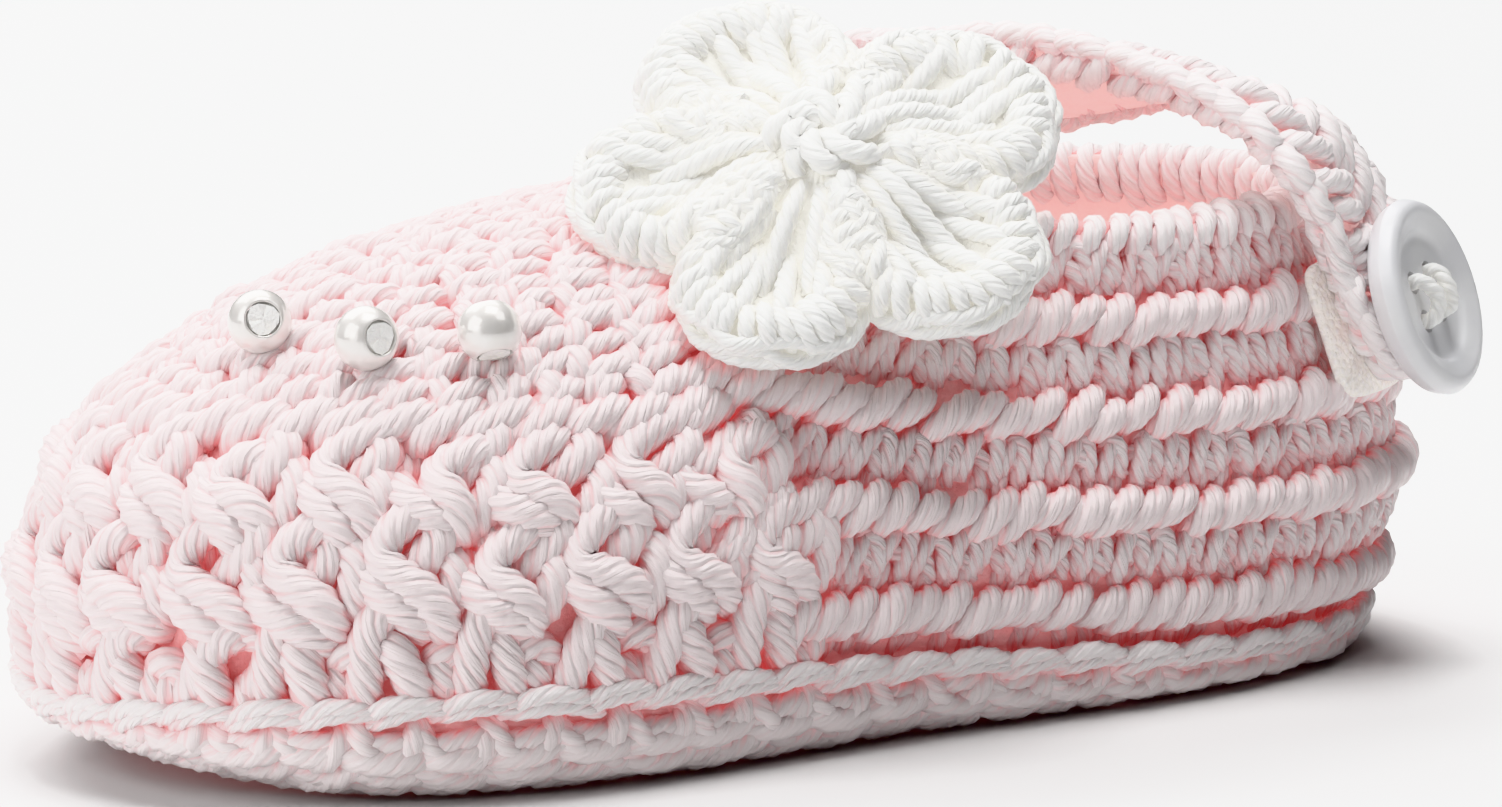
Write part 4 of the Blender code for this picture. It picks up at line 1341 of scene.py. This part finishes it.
def flowerAt(turn, share, top=True):
    turn, share = np.broadcast_arrays(np.asarray(turn, float), np.asarray(share, float))
    petal = petalShare(turn)
    widest = flowerParts["diameter"] / 2
    radius = widest * petalReach(petal) * share
    height = -flowerParts["droop"] * (radius / widest) ** 2
    height = height + flowerParts["curl"] * smoothStep(flowerParts["curlStart"], 1.0, share) * petal
    if top:
        dish = flowerParts["dish"] * bell(share - flowerParts["dishMiddle"], flowerParts["dishSpan"]) * petal
        boss = flowerParts["boss"] * bell(share, flowerParts["bossSpan"])
        thick = flowerParts["thickness"] * np.sqrt(np.clip(1 - share ** flowerParts["edgeRound"], 0, 1))
        height = height - dish + boss + thick
    own = np.stack([radius * np.cos(turn), radius * np.sin(turn), height], axis=-1)
    return own @ flowerTurn.T + flowerMiddle


flowerFace = Face(flowerAt, right=-1.0, step=(0.02, 0.01))


# coordinates on the flower of a place on its plane, given along and across one petal
def onPlane(middle, along, across):
    around = middle + np.arctan2(across, along)
    share = np.hypot(along, across) / petalReach(petalShare(around))
    return around, np.clip(share, 0, flowerParts["furthest"])


# a place given round the petal's own middle, from its tip
def onPetal(middle, turn, share):
    along = flowerParts["petalMiddle"] + flowerParts["petalRadius"] * share * np.cos(turn)
    return onPlane(middle, along, flowerParts["petalRadius"] * share * np.sin(turn))


# a place some way from the petal's base to its rim
def fromBase(middle, turn, share):
    along = flowerParts["petalMiddle"] + flowerParts["petalRadius"] * np.cos(turn)
    across = flowerParts["petalRadius"] * np.sin(turn)
    base, narrow = flowerParts["petalBase"], flowerParts["baseNarrow"]
    return onPlane(middle, base + share * (along - base), across * (narrow + (1 - narrow) * share))


def flowerBody():
    turns = fullCircle(flowerParts["bodySteps"])
    down = flowerTurn @ np.array([0, 0, -flowerParts["overSink"]])
    rings = [flowerAt(turns, share, False) for share in flowerParts["under"]]
    rings += [flowerAt(turns, share) + down for share in flowerParts["over"]]
    return skin("flowerBody", rings, fabrics["white"], caps=True, weave=flowerParts["weave"])


# strands that run round a petal's rim, and the short ones over them
def rimStrands(middle, rng):
    laid = []
    sway, loose = flowerParts["rimSway"], flowerParts["wrapUneven"]
    turn = np.linspace(-1, 1, flowerParts["rimKnots"])[None, :] * flowerParts["rimTurn"]
    for share, lift in flowerParts["rimLines"]:
        wave = sway["size"] * np.sin(sway["waves"] * turn + rng.uniform(0, uneven["phase"]))
        wave = wave + rng.normal(0, sway["uneven"], turn.shape)
        laid.append(follow(flowerFace, *onPetal(middle, turn, share + wave), lift + sway["lift"] * wave, rng))
    turn = np.linspace(-1, 1, flowerParts["wraps"])[:, None] * flowerParts["wrapTurn"]
    turn = turn + rng.normal(0, loose["turn"], turn.shape)
    share = np.array(flowerParts["wrapShares"])[None, :] + rng.normal(0, loose["share"], turn.shape)
    lift = np.array(flowerParts["wrapLifts"])[None, :] + rng.normal(0, loose["lift"], turn.shape)
    lean = rng.normal(*flowerParts["wrapLean"], turn.shape) * (share - flowerParts["wrapMiddle"])
    where = onPetal(middle, turn + lean, share)
    laid.append(follow(flowerFace, *where, lift, rng, [flowerParts["wrapGirth"]]))
    return laid


def petalPosts(middle, rng):
    laid = []
    loose, girth = flowerParts["postUneven"], flowerParts["postGirth"]
    tall, power = flowerParts["postArch"]
    arch = tall * np.sin(np.linspace(0, np.pi, len(girth)))[None, :] ** power
    for count, start, end, low in flowerParts["posts"]:
        turn = np.linspace(-1, 1, count)[:, None] * flowerParts["postTurn"]
        turn = turn + rng.normal(0, loose["turn"], turn.shape)
        share = start + (end - start) * np.linspace(0, 1, len(girth))[None, :]
        share = share + rng.normal(0, loose["share"], turn.shape)
        lift = low + arch + rng.normal(0, loose["lift"], turn.shape)
        lean = rng.normal(*flowerParts["postLean"], turn.shape) * (share - share.mean())
        laid.append(follow(flowerFace, *fromBase(middle, turn + lean, share), lift, rng, [girth]))
    return laid


def middleKnots(rng):
    ring = fullCircle(flowerParts["knots"])[:, None] + flowerParts["knotStart"]
    f = np.linspace(0, 1, flowerParts["knotSteps"])[None, :]
    first, more = flowerParts["knotShares"]
    low, tall, power = flowerParts["knotArch"]
    lift = low + tall * np.sin(np.pi * f) ** power
    where = (ring + flowerParts["knotTurn"] * f, first + more * f)
    return follow(flowerFace, *where, lift, rng, flowerParts["knotGirth"])


def makeFlower():
    rng = np.random.default_rng(flowerParts["seed"])
    attach(flowerBody(), "flower_yarn", "flower")
    rim, posts = [], []
    for middle in np.radians(flowerParts["petals"]):
        rim += rimStrands(middle, rng)
        posts += petalPosts(middle, rng)
    posts.append(middleKnots(rng))
    spin("flowerRims", rim, "flower_yarn", yarns["white"], **flowerParts["rimYarn"])
    spin("flowerStitches", posts, "flower_yarn", yarns["white"], **flowerParts["postYarn"])


makeFlower()


# drilled ball or disc: an outline turned about its own axis
def turned(name, profile, steps, finish, matrix, close=False):
    turns = fullCircle(steps)
    rings = [np.stack([r * np.cos(turns), r * np.sin(turns), np.full(steps, z)], axis=-1) for r, z in profile]
    piece = skin(name, rings, finish, close=close, caps=not close)
    piece.data.transform(matrix)
    return piece


pearls = {
    "seed": 61,
    "diameter": 4.5,
    "hole": 2.4,
    "lip": 0.14,  # rounding of the hole's mouths, in radians of the ball
    "lipSteps": (0.2, 1, 5),
    "lipDepth": 0.86,  # where the lip ends, as a share of the sharp corner's height
    "steps": (40, 64),  # over the ball, round it
    "threadReach": (-0.76, 0.78, 5),  # its ends in the hole, as shares of the ball's radius, and knots
    "threadGirth": (0.9, 1, 1, 1, 1),
    "threadLift": 0.4,
    "threadFill": 0.02,  # thicker than the hole
    "threadYarn": {"floor": -0.8, "top": 0.6, "plies": 3, "sides": 12, "pitch": 3.0},
    # the way that the hole runs
    "ways": {
        "pearl_toe": (-0.20, -0.97, 0.27),
        "pearl_middle": (0.22, -0.95, 0.14),
        "pearl_side": (0.00, -0.45, -0.89),
    },
    "cloudScale": 700,
    "cloudDetail": 3.0,
    "cloudRange": (0.2, 0.8),
    "colours": ((0.78, 0.75, 0.72, 1), (0.82, 0.80, 0.78, 1)),
    "roughness": (0.3, 0.08),
    "lustre": {"Metallic": 0.22, "Coat Weight": 1.0, "Coat Roughness": 0.06, "Coat IOR": 2.0},
}


def pearlFinish():
    material, shader, wire = newFinish("pearl")
    cloud = wire.noise(wire.ownPlace(), pearls["cloudScale"], pearls["cloudDetail"])
    smooth, rough = pearls["roughness"]
    setSockets(shader, {
        "Base Color": cloud.between(*pearls["cloudRange"]).mixed(*pearls["colours"]),
        "Roughness": smooth + cloud * rough,
        **pearls["lustre"],
    })
    return material


# outline of a drilled ball with rounded mouths, as radius and height
def pearlProfile(ball, hole, steps):
    mouth = math.asin(hole / ball) + pearls["lip"]
    profile = [(ball * math.sin(a), ball * math.cos(a)) for a in np.linspace(mouth, math.pi - mouth, steps)]
    start, corner = np.array(profile[-1]), np.array([hole, -math.sqrt(ball**2 - hole**2)])
    end = corner * (1, pearls["lipDepth"])
    lip = []
    for t in np.linspace(*pearls["lipSteps"]):
        lip.append(start * (1 - t) ** 2 + corner * 2 * t * (1 - t) + end * t**2)
    return profile + [tuple(point) for point in lip] + [(r, -z) for r, z in lip[::-1]]


def makePearls():
    rng = np.random.default_rng(pearls["seed"])
    finish = pearlFinish()
    ball = pearls["diameter"] / 2
    over, around = pearls["steps"]
    profile = pearlProfile(ball, pearls["hole"] / 2, over)
    reach = np.linspace(*pearls["threadReach"])[None, :, None] * ball
    threads = []
    for node, way in pearls["ways"].items():
        low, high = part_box(node)
        points = np.array((low + high) / 2) / mm + reach * unit(np.array(way))
        phase = rng.uniform(0, uneven["phase"])
        threads.append(strands(points, (0.0, 0.0, 1.0), pearls["threadLift"], phase, pearls["threadGirth"]))
        turn = Vector(way).to_track_quat("Z", "Y").to_matrix().to_4x4()
        matrix = Matrix.Translation((low + high) / 2) @ turn
        name = "bead" + node.split("_")[1].capitalize()
        attach(turned(name, profile, around, finish, matrix, close=True), "pearl", node)
    width = pearls["hole"] + pearls["threadFill"]
    spin("beadThreads", threads, "thread", yarns["white"], width=width, **pearls["threadYarn"])


makePearls()


button = {
    "diameter": 14.6,
    "thickness": 2.8,
    "rim": 2.2,
    "dish": 1.1,
    "hole": 1.7,
    "holeSpacing": 3.0,
    "holeSteps": 32,
    "middle": 0.25,  # radius of the flat spot in the middle of each face
    "outlineSteps": 61,
    "turnSteps": 96,
    "sharp": 40,  # degrees
    "tabSteps": 30,
    "thread": 1.25,
    "threadStand": 0.25,  # above the dish
    "threadLift": 0.4,
    "threadEnd": 0.5,  # height of the ends in the holes
    "threadDip": 0.6,
    "threadShort": 0.25,  # the bars bend before the holes' middles
    "threadRise": 0.45,
    "threadBows": (0.3, -0.35),
    "threadKnots": 5,
    "threadYarn": {"floor": -0.8, "top": 0.6, "plies": 3, "sides": 12, "pitch": 2.6, "step": 0.2},
    "cloudScale": 240,
    "cloudDetail": 3.0,
    "cloudRange": (0.3, 0.7),
    "colours": ((0.71, 0.71, 0.73, 1), (0.76, 0.76, 0.77, 1)),
    "grainScale": 3000,
    "grain": 0.05,
    "grainDepth": 0.05,
    "roughness": (0.3, 0.12),
    "coat": {"Coat Weight": 0.25, "Coat Roughness": 0.15},
}


def buttonFinish():
    material, shader, wire = newFinish("buttonPlastic")
    cloud = wire.noise(wire.ownPlace(), button["cloudScale"], button["cloudDetail"])
    grain = wire.noise(wire.ownPlace(), button["grainScale"])
    smooth, rough = button["roughness"]
    setSockets(shader, {
        "Base Color": cloud.between(*button["cloudRange"]).mixed(*button["colours"]),
        "Roughness": smooth + cloud * rough,
        "Normal": grain.bump(button["grain"], button["grainDepth"] * mm),
        **button["coat"],
    })
    return material


# the button lies on the tab and looks out of the heel
def buttonMatrix():
    rows = strapRows()[:-1]
    line = openSpline(rows)(np.linspace(0, len(rows) - 1, button["tabSteps"]))[:, :3]
    along = Vector(line[-1] - line[-2]).normalized()
    face = Vector(rows[-1][3:6])
    face = (face - along * face.dot(along)).normalized()
    side = along.cross(face)
    centre = Vector(line[-1]) + face * (strapParts["thickness"] / 2 + last["gap"])
    axes = Matrix((side, along, face)).transposed().to_4x4()
    return Matrix.Translation(centre * mm) @ axes


# outline of the button from the middle of its back to the middle of its dish, as radius and height
def buttonProfile(dish):
    radius, top = button["diameter"] / 2, button["thickness"]
    inner = radius - button["rim"]
    rows = np.array([
        (radius * 0.4, 0), (radius * 0.72, 0), (radius * 0.93, 0.5), (radius, 1.5), (radius, top - 0.9),
        (radius - 0.35, top - 0.25), (radius - 0.95, top), (inner + 0.6, top - 0.2), (inner, dish + 0.6),
        (inner - 0.7, dish + 0.1), (inner * 0.5, dish),
    ])
    fine = openSpline(rows)(np.linspace(0, len(rows) - 1, button["outlineSteps"]))
    return [(button["middle"], 0.0), *map(tuple, fine), (button["middle"], dish)]


def drill(disc, half):
    cutters = []
    for x in (-half, half):
        for y in (-half, half):
            bpy.ops.mesh.primitive_cylinder_add(
                vertices=button["holeSteps"],
                radius=button["hole"] / 2 * mm,
                depth=3 * button["thickness"] * mm,
                location=(x * mm, y * mm, 0),
            )
            cutters.append(bpy.context.object)
            cut = disc.modifiers.new("hole", "BOOLEAN")
            cut.object = cutters[-1]
            cut.solver = "EXACT"
    drilled = bpy.data.meshes.new_from_object(disc.evaluated_get(bpy.context.evaluated_depsgraph_get()))
    disc.modifiers.clear()
    disc.data = drilled
    for cutter in cutters:
        bpy.data.objects.remove(cutter)
    drilled.set_sharp_from_angle(angle=math.radians(button["sharp"]))


# one bar of thread, up through a hole, over the dish and down through the next
def threadBar(x, half, sit, bow):
    down, short = sit - button["threadDip"], button["threadShort"]
    way = [(x, -half, button["threadEnd"]), (x, -half, down)]
    for f in np.linspace(0, 1, button["threadKnots"]):
        arch = math.sin(math.pi * f)
        y = -half + short + (2 * half - 2 * short) * f
        way.append((x + bow * arch, y, sit + button["threadRise"] * arch))
    return way + [(x, half, down), (x, half, button["threadEnd"])]


def makeButton():
    dish = button["thickness"] - button["dish"]
    half = button["holeSpacing"] / 2
    matrix = buttonMatrix()
    disc = turned("buttonDisc", buttonProfile(dish), button["turnSteps"], buttonFinish(), Matrix.Identity(4))
    drill(disc, half)
    disc.data.transform(matrix)
    attach(disc, "button", "button")
    sit = dish + button["threadStand"] + button["thread"] / 2
    ways = [threadBar(x, half, sit, bow) for x, bow in zip((-half, half), button["threadBows"])]
    points = np.array([[matrix @ (Vector(point) * mm) / mm for point in way] for way in ways])
    bars = strands(points, np.array(matrix.to_3x3().col[2]), button["threadLift"], 0.0)
    yarn = {"width": button["thread"], **button["threadYarn"]}
    piece = spin("buttonThread", [bars], "thread", yarns["white"], **yarn)
    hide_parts("button_thread_1", "button_thread_2")


makeButton()


patch = {
    "seed": 83,
    "stations": (0.72, 1.24),
    "heights": (0.52, 0.84),
    "thickness": 0.9,
    "stand": 0.85,  # out of the mean face of the upper
    "steps": 80,
    "corner": 0.35,
    # size and level, from the middle of the back to the middle of the front
    "rings": (
        (0.15, 0), (0.5, 0), (0.92, 0), (0.99, 0.25), (1.0, 0.5), (0.98, 0.8), (0.93, 1.0), (0.5, 1.0),
        (0.15, 1.0),
    ),
    "uneven": 0.05,
    "loopScale": 2200.0,
    "loopShade": 1.4,
    "loopBump": 0.8,
    "loopDepth": 0.3,
    "colours": ((0.97, 0.95, 0.92, 1), (0.95, 0.90, 0.85, 1)),
    "cloudScale": 400,
    "cloudDetail": 3.0,
    "roughness": (0.75, 0.2),
    "sheen": 0.4,
    "through": (1.0, 0.93, 0.88, 1),
    "glow": 0.1,
}


def patchFinish():
    material, shader, wire = newFinish("fastenerTape")
    sockets = {"Vector": wire.ownPlace(), "Scale": patch["loopScale"]}
    loops = wire.add("ShaderNodeTexVoronoi", {"feature": "F1"}, sockets)
    cloud = wire.noise(wire.ownPlace(), patch["cloudScale"], patch["cloudDetail"])
    smooth, rough = patch["roughness"]
    setSockets(shader, {
        # painted shade between the raised loops, and a painted glow for light through the tape
        "Base Color": (loops * patch["loopShade"]).clamped().mixed(*patch["colours"]),
        "Roughness": smooth + cloud * rough,
        "Normal": (1.0 - loops).bump(patch["loopBump"], patch["loopDepth"] * mm),
        "Sheen Weight": patch["sheen"],
        "Emission Color": patch["through"],
        "Emission Strength": patch["glow"],
    })
    return material


def makePatch():
    rng = np.random.default_rng(patch["seed"])
    middleU, middleV = np.mean(patch["stations"]), np.mean(patch["heights"])
    spanU, spanV = np.ptp(patch["stations"]) / 2, np.ptp(patch["heights"]) / 2
    across, upward = roundedBox(patch["steps"], patch["corner"])
    rings = []
    for size, level in patch["rings"]:
        lift = patch["stand"] + patch["thickness"] * level
        if level == 1:
            lift = lift + rng.normal(0, patch["uneven"], patch["steps"])
        rings.append(upperFace.point(middleU + spanU * across * size, middleV + spanV * upward * size, lift))
    attach(skin("fastenerTape", rings, patchFinish(), caps=True), "patch", "fastener_patch")


makePatch()


crowding = {
    "cell": 0.4,
    "ahead": 0.9,  # where the yarn in front of a point is counted
    "spread": (-2, -1, 0, 1, 2),  # cells that the count is averaged over, twice
    "open": 0.08,
    "full": 0.65,
    "margin": 4.0,  # empty space before the first yarn
    "spare": 12,  # cells after the last
}


# marks how closely other yarn stands in front of each point of the yarn, from 0 in the open to 1, for the
# painted shade between strands
def markCrowded():
    places, ways = [], []
    for piece in yarnPieces:
        mesh = piece.data
        for vectors, field, found in ((mesh.vertices, "co", places), (mesh.vertex_normals, "vector", ways)):
            flat = np.empty(3 * len(mesh.vertices), np.float32)
            vectors.foreach_get(field, flat)
            found.append(flat.reshape(-1, 3))
    points = np.vstack(places) / mm
    low = points.min(axis=0) - crowding["margin"]
    cells = ((points - low) / crowding["cell"]).astype(int)
    size = cells.max(axis=0) + crowding["spare"]
    grid = np.bincount(np.ravel_multi_index(cells.T, size), minlength=size.prod())
    grid = grid.reshape(size).astype(np.float32)
    for axis in (0, 1, 2, 0, 1, 2):
        grid = sum(np.roll(grid, shift, axis) for shift in crowding["spread"]) / len(crowding["spread"])
    ahead = (points + np.vstack(ways) * crowding["ahead"] - low) / crowding["cell"] - 0.5
    first = np.floor(ahead).astype(int)
    f = ahead - first
    crowd = 0
    for corner in np.ndindex(2, 2, 2):
        share = np.prod(np.where(corner, f, 1 - f), axis=1)
        crowd = crowd + share * grid[tuple((first + corner).T)]
    crowd = (crowd - crowding["open"]) / (crowding["full"] - crowding["open"])
    crowd = np.clip(crowd, 0, 1).astype(np.float32)
    start = 0
    for piece, own in zip(yarnPieces, places):
        end = start + len(own)
        piece.data.attributes.new("crowd", "FLOAT", "POINT").data.foreach_set("value", crowd[start:end])
        start = end


markCrowded()
print("yarn shaded")


camera = {
    "azimuth": -23.5,
    "elevation": 10.0,
    "distance": 500.0,
    "roll": -1.6,
    "scale": 13.8,  # photo pixels a millimetre at the target
    "target": (-2.3, 0.0, 22.0),
    "sensor": 36.0,
    "nearest": 10.0,
}
photo = {"width": 1502, "height": 807, "targetX": 700, "targetY": 397}


def makeCamera():
    azimuth, elevation = math.radians(camera["azimuth"]), math.radians(camera["elevation"])
    level = math.cos(elevation)
    back = Vector((math.sin(azimuth) * level, -math.cos(azimuth) * level, math.sin(elevation)))
    data = bpy.data.cameras.new("camera")
    data.sensor_width = camera["sensor"]
    data.lens = camera["scale"] * camera["distance"] / photo["width"] * camera["sensor"]
    data.shift_x = -(photo["targetX"] - photo["width"] / 2) / photo["width"]
    data.shift_y = (photo["targetY"] - photo["height"] / 2) / photo["width"]
    data.clip_start = camera["nearest"] * mm
    eye = link("camera", data)
    eye.location = (Vector(camera["target"]) + back * camera["distance"]) * mm
    eye.rotation_mode = "QUATERNION"
    roll = Quaternion((0, 0, 1), math.radians(camera["roll"]))
    eye.rotation_quaternion = (-back).to_track_quat("-Z", "Y") @ roll
    scene.camera = eye


makeCamera()


studio = {
    "floorSize": 6000.0,
    "floor": (0.74, 0.74, 0.74, 1),
    "floorRoughness": 0.9,
    "sky": (1, 1, 1, 1),
    "ambient": 0.03,
    # place and aim in millimetres, side of the panel, watts
    "lights": {
        "key": ((-560, -60, 330), (0, 0, 20), 460, 2.1),
        "top": ((50, -30, 640), (0, 0, 20), 320, 3.3),
        "near": ((20, -56, 108), (24, -18, 38), 50, 0.018),
        "left": ((-600, -250, 160), (0, 0, 20), 300, 0.35),
        "back": ((0, 1000, 900), (0, 800, 0), 1200, 26.0),
    },
}


def makeFloor():
    half = studio["floorSize"] / 2 * mm
    corners = [(-half, -half, 0), (half, -half, 0), (half, half, 0), (-half, half, 0)]
    mesh = bpy.data.meshes.new("floor")
    mesh.from_pydata(corners, [], [(0, 1, 2, 3)])
    floor = link("floor", mesh)
    material, shader, _ = newFinish("paleFloor")
    setSockets(shader, {"Base Color": studio["floor"], "Roughness": studio["floorRoughness"]})
    mesh.materials.append(material)


def makeStudio():
    makeFloor()
    world = bpy.data.worlds.new("studio")
    world.use_nodes = True
    sky = world.node_tree.nodes["Background"]
    setSockets(sky, {"Color": studio["sky"], "Strength": studio["ambient"]})
    scene.world = world
    for name, (where, aim, size, watts) in studio["lights"].items():
        data = bpy.data.lights.new(name, "AREA")
        data.size, data.energy = size * mm, watts
        lamp = link(name, data)
        lamp.location = Vector(where) * mm
        lamp.rotation_euler = (Vector(aim) - Vector(where)).to_track_quat("-Z", "Y").to_euler()


makeStudio()
